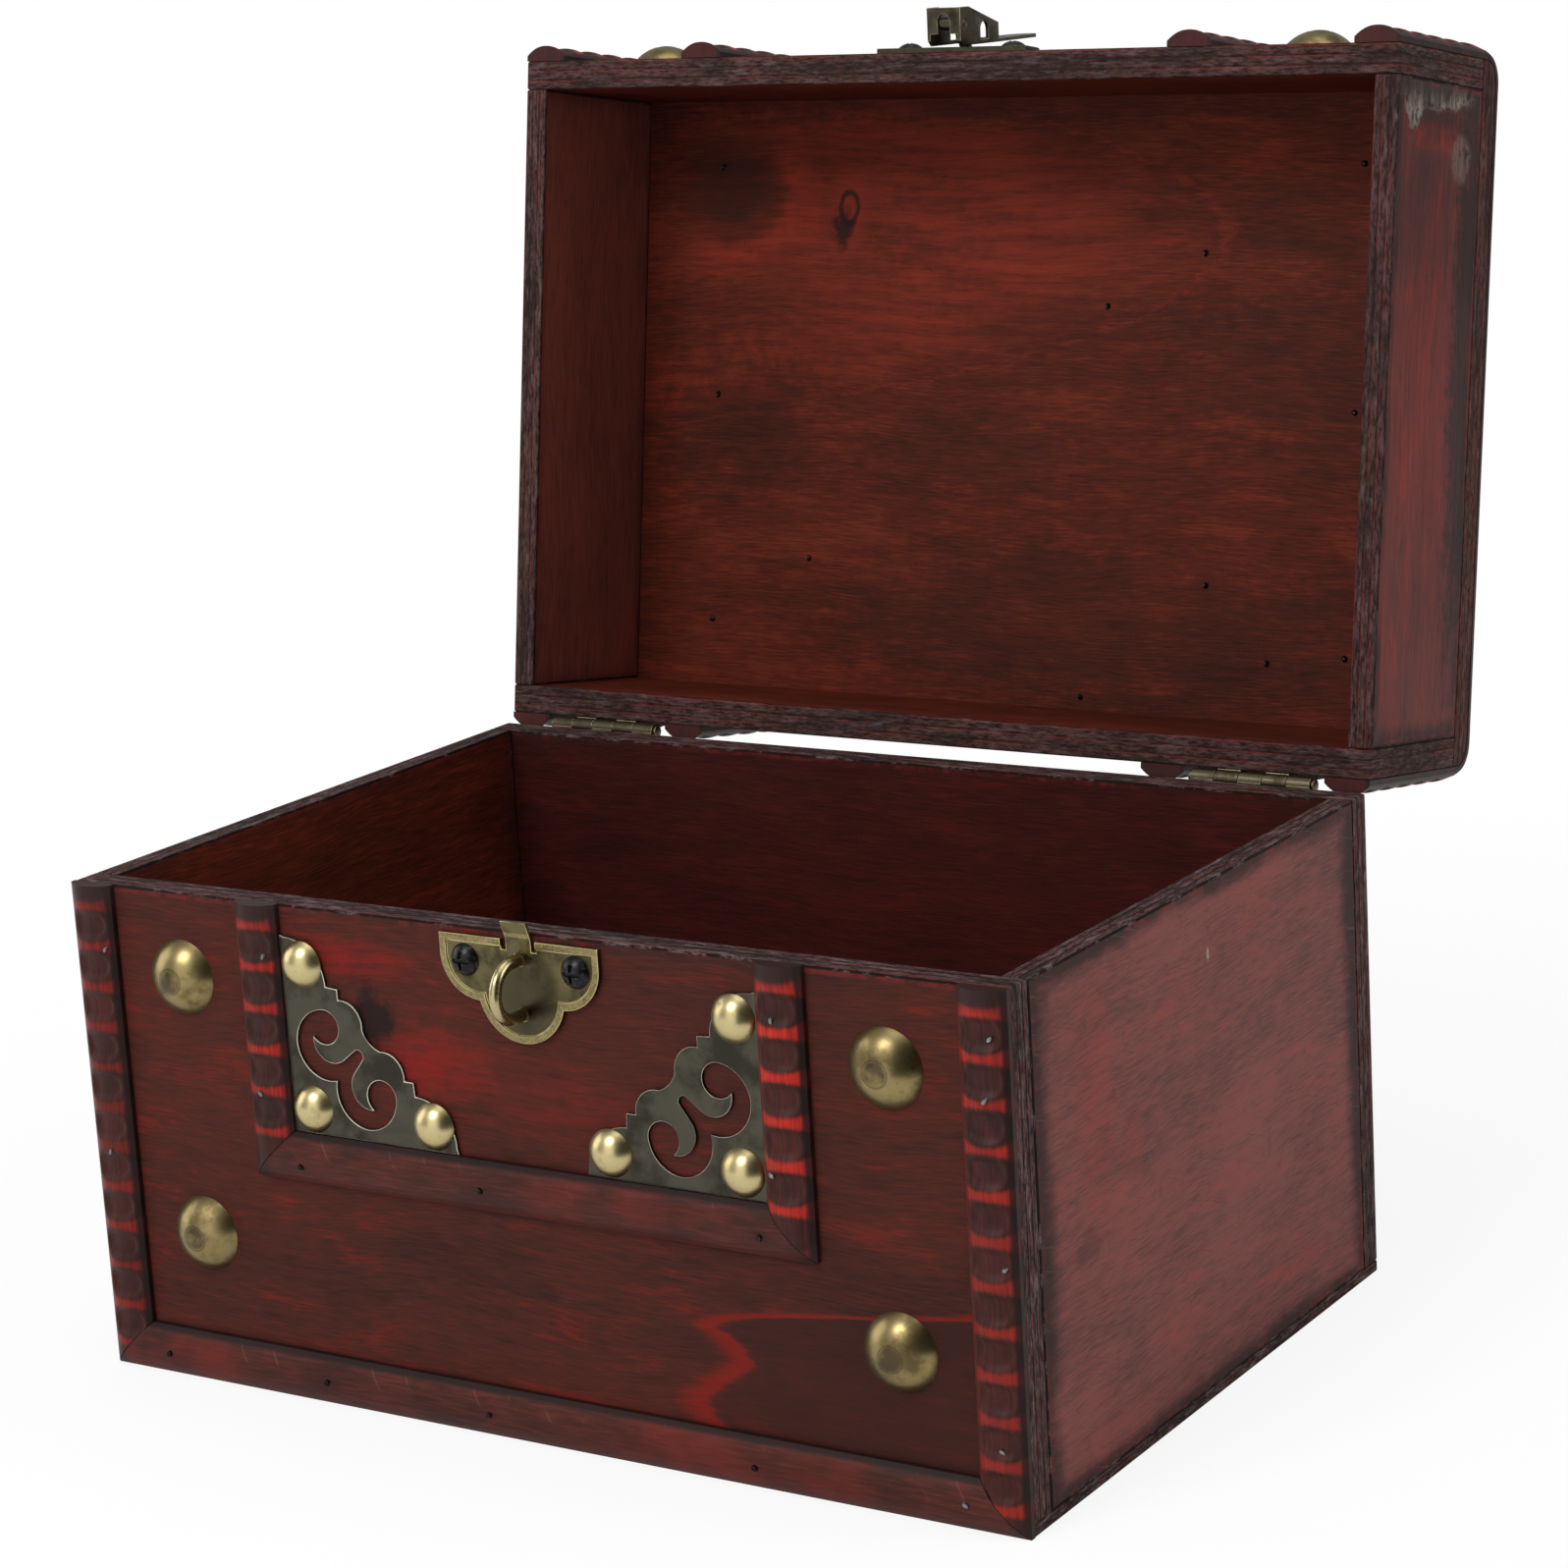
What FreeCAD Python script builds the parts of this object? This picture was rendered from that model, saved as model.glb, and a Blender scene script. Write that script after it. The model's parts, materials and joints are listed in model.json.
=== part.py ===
import FreeCAD, Part
import math
import os
from types import SimpleNamespace

import Sketcher

# Decorative hinged wooden box with notched mouldings, brass plates and a hasp.
# Millimetres. Origin at the centre of the underside, front towards -Y, up is +Z.
# The lid is drawn closed and then turned open about the hinge pins.

DOC = FreeCAD.newDocument("WoodenBox")
SHEET = DOC.addObject("Spreadsheet::Sheet", "Sizes")

SIZES = (
    # Plywood carcass
    ("box_width", 220, "width over the side panels"),
    ("box_depth", 152, "depth over the front and back panels"),
    ("base_height", 105, "height of the base from underside to rim"),
    ("lid_height", 51, "height of the lid from rim to top"),
    ("lid_gap", 0.3, "gap between the closed rims"),
    ("front_wall", 6.5, "thickness of front and back panels"),
    ("side_wall", 5.5, "thickness of side panels"),
    ("bottom_thickness", 2.5, "thickness of the bottom panel"),
    ("top_thickness", 7, "thickness of the lid's top panel"),
    ("top_round", 5, "rounding of the lid's long top edges"),
    ("open_angle", 99.2, "angle of the lid as it stands open, in degrees"),
    # Mouldings
    ("strip_width", 10.4, "width of a moulding"),
    ("strip_proud", 3.5, "height of a moulding over the panel"),
    ("strip_flank", 1.2, "straight flank of a moulding"),
    ("notch_pitch", 8.65, "spacing of the pressed notches"),
    ("notch_radius", 3.5, "radius of the tool that pressed a notch"),
    ("notch_depth", 1.25, "depth of a notch at the crown"),
    ("notch_drop", 8.4, "first notch below the base rim"),
    ("lid_notch_rise", 4.6, "first notch above the lid rim"),
    ("notch_end", 9.5, "least distance of the last notch from the foot"),
    ("lid_notch_end", 6.5, "least distance of a strap's notches from its bends"),
    ("frame_drop", 57.7, "latch frame's lower edge below the rim"),
    # Large tacks
    ("tack_radius", 8, "radius of a large tack's head"),
    ("tack_height", 4.5, "height of a large tack's head"),
    ("tack_shank", 0.9, "radius of a large tack's shank"),
    ("tack_drop", 18, "upper tacks below the rim"),
    ("tack_low", 32, "height of the lower tacks"),
    ("lid_tack_rise", 18.6, "lid tacks above the lid rim"),
    ("lid_tack_inset", 22, "outer tacks on the lid's top from its long edges"),
    ("tack_tip", 0.8, "point of a top tack that shows inside the lid"),
    ("tack_sink", 0.5, "distance of a front tack's end from the inside"),
    # Filigree corner plates
    ("plate_leg", 41, "length of a corner plate's legs"),
    ("plate_thickness", 0.8, "thickness of the brass plates"),
    ("nail_radius", 4.9, "radius of a small nail's head"),
    ("nail_height", 3, "height of a small nail's head"),
    ("nail_shank", 0.8, "radius of a small nail's shank"),
    ("nail_length", 5, "length of a small nail's shank in the panel"),
    ("nail_inset", 5.2, "nail from the plate's legs"),
    ("nail_tip", 5.7, "outer nails from the plate's tips"),
    # Clover plates
    ("latch_x", 2.8, "sideways place of the latch"),
    ("clover_half", 18.7, "half width of a clover plate"),
    ("clover_shoulder", 4, "straight side of a clover plate"),
    ("clover_shoulder_radius", 8.9, "rounding of the side lobes"),
    ("clover_waist", 9.9, "half width at the waist"),
    ("clover_waist_depth", 13, "waist from the straight edge"),
    ("clover_reach", 20.7, "end of the middle lobe from the straight edge"),
    ("clover_lobe_radius", 10.2, "rounding of the middle lobe"),
    ("clover_edge", 1.5, "straight edge from the rim"),
    ("border_width", 1.5, "width of the raised border"),
    ("border_rise", 0.35, "height of the raised border"),
    ("border_waist", 1.25, "border's waist inside the plate's, across"),
    ("border_waist_depth", 1.6, "border's waist inside the plate's, along"),
    ("screw_spread", 13, "screws from the plate's middle"),
    ("screw_drop", 5.2, "screws from the straight edge"),
    ("screw_head", 3.3, "radius of a latch screw's head"),
    ("screw_rise", 1.9, "height of a latch screw's head"),
    ("screw_shank", 1.3, "radius of a latch screw's shank"),
    ("screw_length", 5, "length of a latch screw in the panel"),
    ("cross_width", 0.8, "width of the cross slot in a screw head"),
    ("cross_half", 1.9, "half length of the cross slot"),
    ("cross_depth", 0.9, "depth of the cross slot"),
    # Lanced tab of the keeper
    ("tab_half", 3, "half width of the tab"),
    ("tab_slit", 1.1, "width of the slits beside the tab"),
    ("tab_root", 2.2, "depth of the slits"),
    ("tab_lap", 0.3, "tab's root below the slits"),
    ("tab_rise", 2.4, "top of the tab above the rim"),
    ("tab_lean", 1.5, "how far the tab's top leans out"),
    # Staple
    ("wire_radius", 1.25, "radius of the staple's wire"),
    ("staple_half", 5.5, "half spacing of the staple's feet"),
    ("staple_drop", 10.9, "middle of the staple below the rim"),
    ("staple_reach", 10.5, "staple's crown from the panel"),
    ("staple_root", 5, "foot of the staple in the panel"),
    # Hasp
    ("pin_out", 6.2, "hasp pin from the panel"),
    ("pin_rise", 0.5, "hasp pin above the base rim"),
    ("pin_radius", 0.8, "radius of the hasp pin"),
    ("knuckle_radius", 1.6, "outside radius of the lug's knuckle"),
    ("lug_half", 1.3, "half width of the lug"),
    ("lug_thickness", 0.9, "thickness of the lug"),
    ("lug_neck", 4.8, "straight neck of the lug above the pin"),
    ("lug_root", 9.5, "lug's root above the pin"),
    ("hasp_half", 4.2, "half width of the hasp"),
    ("hasp_sheet", 0.8, "thickness of the hasp's sheet"),
    ("hasp_heel", 2, "hasp's near end beyond the pin"),
    ("heel_cut", 1.2, "bevel of the cheeks' near corner"),
    ("hasp_pin_depth", 4.9, "pin from the hasp's outer face"),
    ("cheek_height", 8.3, "height of the cheeks at the near end"),
    ("cheek_toe", 4.3, "height of the cheeks at the far end"),
    ("cheek_end", 15, "far end of the cheeks from the pin"),
    ("slot_end", 18.4, "end of the staple slot from the pin"),
    ("window_half", 1.5, "half width of the window in the near end"),
    ("post_foot", 2.6, "foot of the posts beside the window from the outer face"),
    ("window_top", 6.9, "top of the window from the outer face"),
    ("tail_end", 36, "end of the tongue from the pin"),
    ("tail_half", 3.3, "half width of the tongue at its end"),
    ("eye_along", 8.6, "padlock eye from the pin"),
    ("eye_half", 1.75, "half width of the padlock eye"),
    ("eye_low", 0.9, "foot of the padlock eye"),
    ("eye_straight", 2.2, "straight side of the padlock eye"),
    ("hasp_tilt", 8, "stand of the folded hasp off the lid, in degrees"),
    # Butt hinges
    ("hinge_clear", 2.35, "hinge's ends from the mouldings beside it"),
    ("hinge_out", 2, "hinge axis behind the panel"),
    ("barrel_radius", 1.85, "outside radius of the knuckles"),
    ("hinge_pin_radius", 0.9, "radius of a hinge pin"),
    ("hinge_pin_head", 1.4, "radius of a hinge pin's head"),
    ("hinge_head_length", 0.6, "length of a hinge pin's head"),
    ("leaf_thickness", 0.9, "thickness of a hinge leaf"),
    ("leaf_clear", 2.3, "leaf's edge from the hinge axis"),
    ("leaf_reach", 14, "far edge of a leaf from the hinge axis"),
    ("knuckles", 5, "knuckles along a hinge"),
    ("knuckle_gap", 0.2, "gap between knuckles"),
    ("leaf_screw_inset", 5.5, "leaf screws from the hinge's ends"),
    ("leaf_screw_reach", 8.6, "leaf screws from the hinge axis"),
    ("leaf_screw_head", 2, "radius of a leaf screw's head"),
    ("leaf_screw_rise", 1.1, "height of a leaf screw's head"),
    ("leaf_screw_shank", 0.9, "radius of a leaf screw's shank"),
    # Clearances
    ("running", 0.05, "radial clearance of a pin in its knuckle"),
    ("hole_gap", 0.05, "radial clearance of a shank in its hole"),
    ("seat_gap", 0.1, "clearance of a corner plate in the frame"),
)


class Size:
    """A length that carries its number and the sheet expression behind it."""

    def __init__(self, value, text):
        self.value = value
        self.text = text

    @staticmethod
    def of(item):
        """Give a plain number the same form."""
        if isinstance(item, Size):
            return item
        return Size(float(item), "(%r)" % float(item))

    def __add__(self, other):
        other = Size.of(other)
        return Size(self.value + other.value, "(%s + %s)" % (self.text, other.text))

    def __sub__(self, other):
        other = Size.of(other)
        return Size(self.value - other.value, "(%s - %s)" % (self.text, other.text))

    def __mul__(self, other):
        other = Size.of(other)
        return Size(self.value * other.value, "(%s * %s)" % (self.text, other.text))

    def __truediv__(self, other):
        other = Size.of(other)
        return Size(self.value / other.value, "(%s / %s)" % (self.text, other.text))

    def __rsub__(self, other):
        return Size.of(other) - self

    def __neg__(self):
        return Size(-self.value, "(0 - %s)" % self.text)

    def whole(self):
        """The whole number below."""
        return Size(math.floor(self.value), "floor(%s)" % self.text)

    __radd__ = __add__
    __rmul__ = __mul__


def read_sizes():
    """Write every size into the sheet and hand them back by name."""
    for row, (name, value, note) in enumerate(SIZES, start=1):
        SHEET.set("A%d" % row, note)
        SHEET.set("B%d" % row, str(value))
        SHEET.setAlias("B%d" % row, name)
    DOC.recompute()
    return SimpleNamespace(
        **{name: Size(float(SHEET.get(name)), "Sizes.%s" % name) for name, _, _ in SIZES}
    )


s = read_sizes()

# Width of the latch frame as a share of the box's
FRAME_SHARE = 0.608
# Units of the scroll drawing along a corner plate's leg
SCROLL_GRID = 41

# Places shared by several pieces
HALF_WIDTH = s.box_width / 2
HALF_DEPTH = s.box_depth / 2
LID_RIM = s.base_height + s.lid_gap
LID_CEILING = LID_RIM + s.lid_height - s.top_thickness
LID_TOP = LID_RIM + s.lid_height
FRAME_HALF = HALF_WIDTH * FRAME_SHARE
FRAME_FOOT = s.base_height - s.frame_drop
FIELD_X = (HALF_WIDTH - s.strip_width + FRAME_HALF) / 2
HINGE_LENGTH = HALF_WIDTH - FRAME_HALF - s.strip_width - 2 * s.hinge_clear
HINGE_Y = HALF_DEPTH + s.hinge_out
HINGE_Z = s.base_height + s.lid_gap / 2
PIN_Y = -HALF_DEPTH - s.pin_out
PIN_Z = s.base_height + s.pin_rise
OPEN = FreeCAD.Placement(
    FreeCAD.Vector(0, 0, 0),
    FreeCAD.Rotation(FreeCAD.Vector(1, 0, 0), -s.open_angle.value),
    FreeCAD.Vector(0, HINGE_Y.value, HINGE_Z.value),
)
STILL = FreeCAD.Placement()


class Drawing:
    """A sketch whose corners, radii and centres are all tied to the sheet."""

    def __init__(self, sketch):
        self.sketch = sketch
        self.rules = []
        self.texts = []

    def rule(self, kind, *items):
        """Queue a plain constraint."""
        self.rules.append(Sketcher.Constraint(kind, *items))
        self.texts.append(None)

    def tie(self, kind, items, size):
        """Queue a constraint that holds a size."""
        self.rules.append(Sketcher.Constraint(kind, *items, size.value))
        self.texts.append(size.text)

    def place(self, edge, point, across, up):
        """Hold one point of an edge at its coordinates."""
        self.tie("DistanceX", (-1, 1, edge, point), across)
        self.tie("DistanceY", (-1, 1, edge, point), up)

    def loop(self, corners):
        """Draw a closed outline.

        A corner is (x, y) where a straight stretch arrives, or (x, y, radius, turn) where an arc
        arrives, with turn 1 for counter-clockwise and -1 for clockwise.
        """
        rows = [tuple(Size.of(item) for item in corner) for corner in corners]
        ends = []
        for index, row in enumerate(rows):
            ends.append(self.stretch(row, rows[(index + 1) % len(rows)]))
        for index, row in enumerate(rows):
            edge, first, _ = ends[index]
            before, _, last = ends[index - 1]
            self.rule("Coincident", before, last, edge, first)
            self.place(edge, first, row[0], row[1])
        return self

    def stretch(self, start, finish):
        """Draw one stretch and say which of its points come first and last."""
        a = FreeCAD.Vector(start[0].value, start[1].value, 0)
        b = FreeCAD.Vector(finish[0].value, finish[1].value, 0)
        if len(finish) == 2:
            return self.sketch.addGeometry(Part.LineSegment(a, b)), 1, 2
        radius = finish[2].value
        turn = finish[3].value
        chord = b - a
        rise = math.sqrt(max(radius ** 2 - (chord.Length / 2) ** 2, 0.0))
        left = FreeCAD.Vector(-chord.y, chord.x, 0) / chord.Length
        centre = (a + b) / 2 + left * rise * turn
        circle = Part.Circle(centre, FreeCAD.Vector(0, 0, 1), radius)
        ahead = (a, b) if turn > 0 else (b, a)
        angles = [math.atan2(p.y - centre.y, p.x - centre.x) for p in ahead]
        edge = self.sketch.addGeometry(Part.ArcOfCircle(circle, angles[0], angles[1]))
        self.tie("Radius", (edge,), finish[2])
        return (edge, 1, 2) if turn > 0 else (edge, 2, 1)

    def ring(self, across, up, radius):
        """Draw a circle."""
        across, up, radius = Size.of(across), Size.of(up), Size.of(radius)
        centre = FreeCAD.Vector(across.value, up.value, 0)
        edge = self.sketch.addGeometry(Part.Circle(centre, FreeCAD.Vector(0, 0, 1), radius.value))
        self.tie("Radius", (edge,), radius)
        self.place(edge, 3, across, up)
        return self

    def box(self, left, right, low, high):
        """Draw a rectangle."""
        return self.loop([(left, low), (right, low), (right, high), (left, high)])

    def path(self, corners):
        """Draw an open run of straight stretches and arcs."""
        rows = [tuple(Size.of(item) for item in corner) for corner in corners]
        before = None
        for start, finish in zip(rows, rows[1:]):
            edge, first, last = self.stretch(start, finish)
            if before:
                self.rule("Coincident", before[0], before[1], edge, first)
            self.place(edge, first, start[0], start[1])
            before = (edge, last)
        self.place(before[0], before[1], rows[-1][0], rows[-1][1])
        return self

    def done(self):
        """Set every constraint and bind the sizes."""
        numbers = self.sketch.addConstraint(self.rules)
        for number, text in zip(numbers, self.texts):
            if text:
                self.sketch.setExpression("Constraints[%d]" % number, text)
        return self.sketch


class Piece:
    """One sub-part built as a body."""

    def __init__(self, label):
        self.body = DOC.addObject("PartDesign::Body", label)
        self.body.Label = label
        self.planes = {item.Role: item for item in self.body.Origin.OriginFeatures}

    def draw(self, plane, offset=0):
        """Start a sketch on one of the body's planes, moved along its normal."""
        sketch = self.body.newObject("Sketcher::SketchObject", "Outline")
        sketch.AttachmentSupport = [(self.planes[plane], "")]
        sketch.MapMode = "FlatFace"
        sketch.setExpression("AttachmentOffset.Base.z", Size.of(offset).text)
        return Drawing(sketch)

    def solid(self, kind, sketch, length, both=False):
        """Pad or pocket a sketch."""
        feature = self.body.newObject("PartDesign::" + kind, kind)
        feature.Profile = sketch
        feature.setExpression("Length", Size.of(length).text)
        if both:
            feature.SideType = "Symmetric"
        sketch.Visibility = False
        return feature

    def turn(self, sketch, axis):
        """Revolve a sketch about one of its own axes."""
        feature = self.body.newObject("PartDesign::Revolution", "Turned")
        feature.Profile = sketch
        feature.ReferenceAxis = (sketch, [axis])
        feature.Angle = 360
        return feature

    def repeat(self, feature, sketch, axis, length, count):
        """Repeat a feature along one of the sketch's axes."""
        pattern = self.body.newObject("PartDesign::LinearPattern", "Row")
        pattern.Originals = [feature]
        pattern.Direction = (sketch, [axis])
        pattern.setExpression("Length", length.text)
        pattern.setExpression("Occurrences", count.text)
        self.body.Tip = pattern
        return pattern

    def stand(self, placement):
        """Set the body where it belongs."""
        self.body.Placement = placement
        return self.body


PIECES = []


def keep(thing):
    """Add a finished sub-part to those that are written out."""
    PIECES.append(thing)
    return thing


def board(label, left, right, front, back, low, high, placement=STILL):
    """Plain rectangular board, drawn flat and raised."""
    piece = Piece(label)
    sketch = piece.draw("XY_Plane", low).box(left, right, front, back).done()
    piece.solid("Pad", sketch, high - low)
    keep(piece.stand(placement))


def wall(label, face, thickness, low, high, holes, placement=STILL):
    """Upright board across the box, with its outer or rear face at -face and drilled holes."""
    piece = Piece(label)
    drawing = piece.draw("XZ_Plane", face)
    drawing.box(-HALF_WIDTH, HALF_WIDTH, low, high)
    for across, up, radius in holes:
        drawing.ring(across, up, radius + s.hole_gap)
    piece.solid("Pad", drawing.done(), thickness)
    keep(piece.stand(placement))


def d_section(drawing, left, face, sign=-1):
    """Domed moulding section standing on a face, open to -Y."""
    rise = s.strip_proud - s.strip_flank
    radius = (s.strip_width * s.strip_width / 4 + rise * rise) / (2 * rise)
    right = left + s.strip_width
    flank = face + sign * s.strip_flank
    return drawing.loop([(left, face), (left, flank), (right, flank, radius, 1), (right, face)])


def notch_row(piece, across, up, axis, length, count):
    """Row of notches pressed across a moulding that runs in the YZ plane."""
    sketch = piece.draw("YZ_Plane").ring(across, up, s.notch_radius).done()
    cut = piece.solid("Pocket", sketch, s.box_width * 2, both=True)
    piece.repeat(cut, sketch, axis, length, count)


def upright(label, left, foot, mitre_left):
    """Notched upright moulding with a mitred foot."""
    piece = Piece(label)
    run = s.base_height - foot - s.notch_drop - s.notch_end
    count = (run / s.notch_pitch).whole() + 1
    right = left + s.strip_width
    section = d_section(piece.draw("XY_Plane", foot), left, -HALF_DEPTH).done()
    piece.solid("Pad", section, s.base_height - foot)
    inner, outer = (left, right) if mitre_left else (right, left)
    corner = [(outer, foot), (inner, foot), (inner, foot + s.strip_width)]
    mitre = piece.draw("XZ_Plane").loop(corner).done()
    piece.solid("Pocket", mitre, s.box_depth * 2, both=True)
    crown = -HALF_DEPTH - s.strip_proud + s.notch_depth - s.notch_radius
    first = s.base_height - s.notch_drop - s.notch_pitch * (count - 1)
    notch_row(piece, crown, first, "V_Axis", s.notch_pitch * (count - 1), count)
    keep(piece.stand(STILL))


def sill(label, half, foot):
    """Plain level moulding with both ends mitred."""
    piece = Piece(label)
    rise = s.strip_proud - s.strip_flank
    radius = (s.strip_width * s.strip_width / 4 + rise * rise) / (2 * rise)
    face = -HALF_DEPTH
    flank = face - s.strip_flank
    head = foot + s.strip_width
    section = piece.draw("YZ_Plane").loop(
        [(face, foot), (face, head), (flank, head), (flank, foot, radius, 1)]
    )
    piece.solid("Pad", section.done(), half * 2, both=True)
    for sign in (-1, 1):
        corner = [(sign * half, foot), (sign * half, head), (sign * (half - s.strip_width), head)]
        mitre = piece.draw("XZ_Plane").loop(corner).done()
        piece.solid("Pocket", mitre, s.box_depth * 2, both=True)
    keep(piece.stand(STILL))


def strap(label, left):
    """Notched moulding bent over the lid from the front rim to the back rim."""
    piece = Piece(label)
    section = d_section(piece.draw("XY_Plane", LID_RIM), left, -HALF_DEPTH).done()
    turn_z = LID_TOP - s.top_round
    turn_y = HALF_DEPTH - s.top_round
    middle = left + s.strip_width / 2
    spine = piece.draw("YZ_Plane", middle).path(
        [
            (-HALF_DEPTH, LID_RIM),
            (-HALF_DEPTH, turn_z),
            (-turn_y, LID_TOP, s.top_round, -1),
            (turn_y, LID_TOP),
            (HALF_DEPTH, turn_z, s.top_round, -1),
            (HALF_DEPTH, LID_RIM),
        ]
    )
    pipe = piece.body.newObject("PartDesign::AdditivePipe", "Bend")
    pipe.Profile = section
    pipe.Spine = (spine.done(), [])
    out = s.strip_proud - s.notch_depth + s.notch_radius
    low = LID_RIM + s.lid_notch_rise
    steps = ((turn_z - low - s.lid_notch_end) / s.notch_pitch).whole() + 1
    run = s.notch_pitch * (steps - 1)
    top_steps = ((2 * turn_y - 2 * s.lid_notch_end) / s.notch_pitch).whole() + 1
    over = s.notch_pitch * (top_steps - 1)
    notch_row(piece, -HALF_DEPTH - out, low, "V_Axis", run, steps)
    notch_row(piece, -over / 2, LID_TOP + out, "H_Axis", over, top_steps)
    notch_row(piece, HALF_DEPTH + out, low, "V_Axis", run, steps)
    keep(piece.stand(OPEN))


def fastener(label, head, height, shank, length, point):
    """Domed head on a round shank, head towards -Y with its seat at the origin."""
    piece = Piece(label)
    radius = (head * head + height * height) / (2 * height)
    sketch = piece.draw("XY_Plane").loop(
        [(0, length + point), (0, -height), (head, 0, radius, 1), (shank, 0), (shank, length)]
    )
    piece.turn(sketch.done(), "V_Axis")
    return piece


def cross_slot(piece, height):
    """Cross slot sunk in the head of a screw."""
    for wide, tall in ((s.cross_half, s.cross_width / 2), (s.cross_width / 2, s.cross_half)):
        sketch = piece.draw("XZ_Plane", height).box(-wide, wide, -tall, tall).done()
        piece.solid("Pocket", sketch, s.cross_depth)


def group(label, master, spots, placement=STILL):
    """A set of like fasteners at (x, y, z, turned) with turned true for heads towards +Y."""
    copies = []
    for across, back, up, turned in spots:
        angle = 180 if turned else 0
        spot = FreeCAD.Placement(
            FreeCAD.Vector(across.value, back.value, up.value),
            FreeCAD.Rotation(FreeCAD.Vector(0, 0, 1), angle),
        )
        copies.append(placed(master, spot))
    feature = DOC.addObject("Part::Feature", label)
    feature.Label = label
    feature.Shape = Part.makeCompound(copies)
    feature.Placement = placement
    keep(feature)


def placed(master, spot):
    """Copy of a finished body's solid at a new place."""
    shape = master.body.Shape.copy()
    shape.Placement = spot
    return shape


# Places of the fasteners, shared by heads, shanks and holes
TACK_HIGH = s.base_height - s.tack_drop
TACKS = [(side * FIELD_X, up) for side in (-1, 1) for up in (s.tack_low, TACK_HIGH)]
LID_TACKS = [(side * FIELD_X, LID_RIM + s.lid_tack_rise) for side in (-1, 1)]
TACK_ROW = HALF_DEPTH - s.lid_tack_inset
TOP_TACKS = [(side * FIELD_X, row * TACK_ROW) for side in (-1, 1) for row in (-1, 0, 1)]
PLATE_X = FRAME_HALF - s.strip_width - s.seat_gap
PLATE_Z = FRAME_FOOT + s.strip_width + s.seat_gap
NAIL_REACH = s.plate_leg - s.nail_tip
NAIL_STEPS = ((s.nail_inset, s.nail_inset), (s.nail_inset, NAIL_REACH), (NAIL_REACH, s.nail_inset))
NAILS = [
    (side * (PLATE_X - along), PLATE_Z + up) for side in (-1, 1) for along, up in NAIL_STEPS
]
KEEPER_EDGE = s.base_height - s.clover_edge
HASP_EDGE = LID_RIM + s.clover_edge
SCREW_X = [s.latch_x + side * s.screw_spread for side in (-1, 1)]
KEEPER_SCREWS = [(across, KEEPER_EDGE - s.screw_drop) for across in SCREW_X]
HASP_SCREWS = [(across, HASP_EDGE + s.screw_drop) for across in SCREW_X]
STAPLE_Z = s.base_height - s.staple_drop
FEET = [(s.latch_x, STAPLE_Z + side * s.staple_half) for side in (-1, 1)]
LEAF_STEP = HINGE_LENGTH / 2 - s.leaf_screw_inset
LEAF_X = [side * FIELD_X + step * LEAF_STEP for side in (-1, 1) for step in (-1, 1)]
BASE_LEAF_SCREWS = [(across, HINGE_Z - s.leaf_screw_reach) for across in LEAF_X]
LID_LEAF_SCREWS = [(across, HINGE_Z + s.leaf_screw_reach) for across in LEAF_X]


def drilled(spots, radius):
    """Holes of one radius at a list of places."""
    return [(across, up, radius) for across, up in spots]


def build_base_panels():
    """Five plywood boards of the base."""
    inner = HALF_DEPTH - s.front_wall
    holes = drilled(TACKS, s.tack_shank) + drilled(NAILS, s.nail_shank)
    holes += drilled(KEEPER_SCREWS, s.screw_shank) + drilled(FEET, s.wire_radius)
    low = s.bottom_thickness
    wall("base_front_panel", inner, s.front_wall, low, s.base_height, holes)
    rear = drilled(BASE_LEAF_SCREWS, s.leaf_screw_shank)
    wall("base_back_panel", -HALF_DEPTH, s.front_wall, low, s.base_height, rear)
    side = HALF_WIDTH - s.side_wall
    board("base_left_panel", -HALF_WIDTH, -side, -inner, inner, low, s.base_height)
    board("base_right_panel", side, HALF_WIDTH, -inner, inner, low, s.base_height)
    board("base_bottom_panel", -HALF_WIDTH, HALF_WIDTH, -HALF_DEPTH, HALF_DEPTH, Size.of(0), low)


def build_lid_panels():
    """Five plywood boards of the lid, the top one rounded along its long edges."""
    inner = HALF_DEPTH - s.front_wall
    holes = drilled(LID_TACKS, s.tack_shank) + drilled(HASP_SCREWS, s.screw_shank)
    wall("lid_front_panel", inner, s.front_wall, LID_RIM, LID_CEILING, holes, OPEN)
    rear = drilled(LID_LEAF_SCREWS, s.leaf_screw_shank)
    wall("lid_back_panel", -HALF_DEPTH, s.front_wall, LID_RIM, LID_CEILING, rear, OPEN)
    side = HALF_WIDTH - s.side_wall
    board("lid_left_panel", -HALF_WIDTH, -side, -inner, inner, LID_RIM, LID_CEILING, OPEN)
    board("lid_right_panel", side, HALF_WIDTH, -inner, inner, LID_RIM, LID_CEILING, OPEN)
    piece = Piece("lid_top_panel")
    turn_z = LID_TOP - s.top_round
    turn_y = HALF_DEPTH - s.top_round
    section = piece.draw("YZ_Plane").loop(
        [
            (-HALF_DEPTH, LID_CEILING),
            (HALF_DEPTH, LID_CEILING),
            (HALF_DEPTH, turn_z),
            (turn_y, LID_TOP, s.top_round, 1),
            (-turn_y, LID_TOP),
            (-HALF_DEPTH, turn_z, s.top_round, 1),
        ]
    )
    piece.solid("Pad", section.done(), s.box_width, both=True)
    drill = piece.draw("XY_Plane", LID_TOP)
    for across, back in TOP_TACKS:
        drill.ring(across, back, s.tack_shank + s.hole_gap)
    piece.solid("Pocket", drill.done(), s.top_thickness * 2)
    keep(piece.stand(OPEN))


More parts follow.
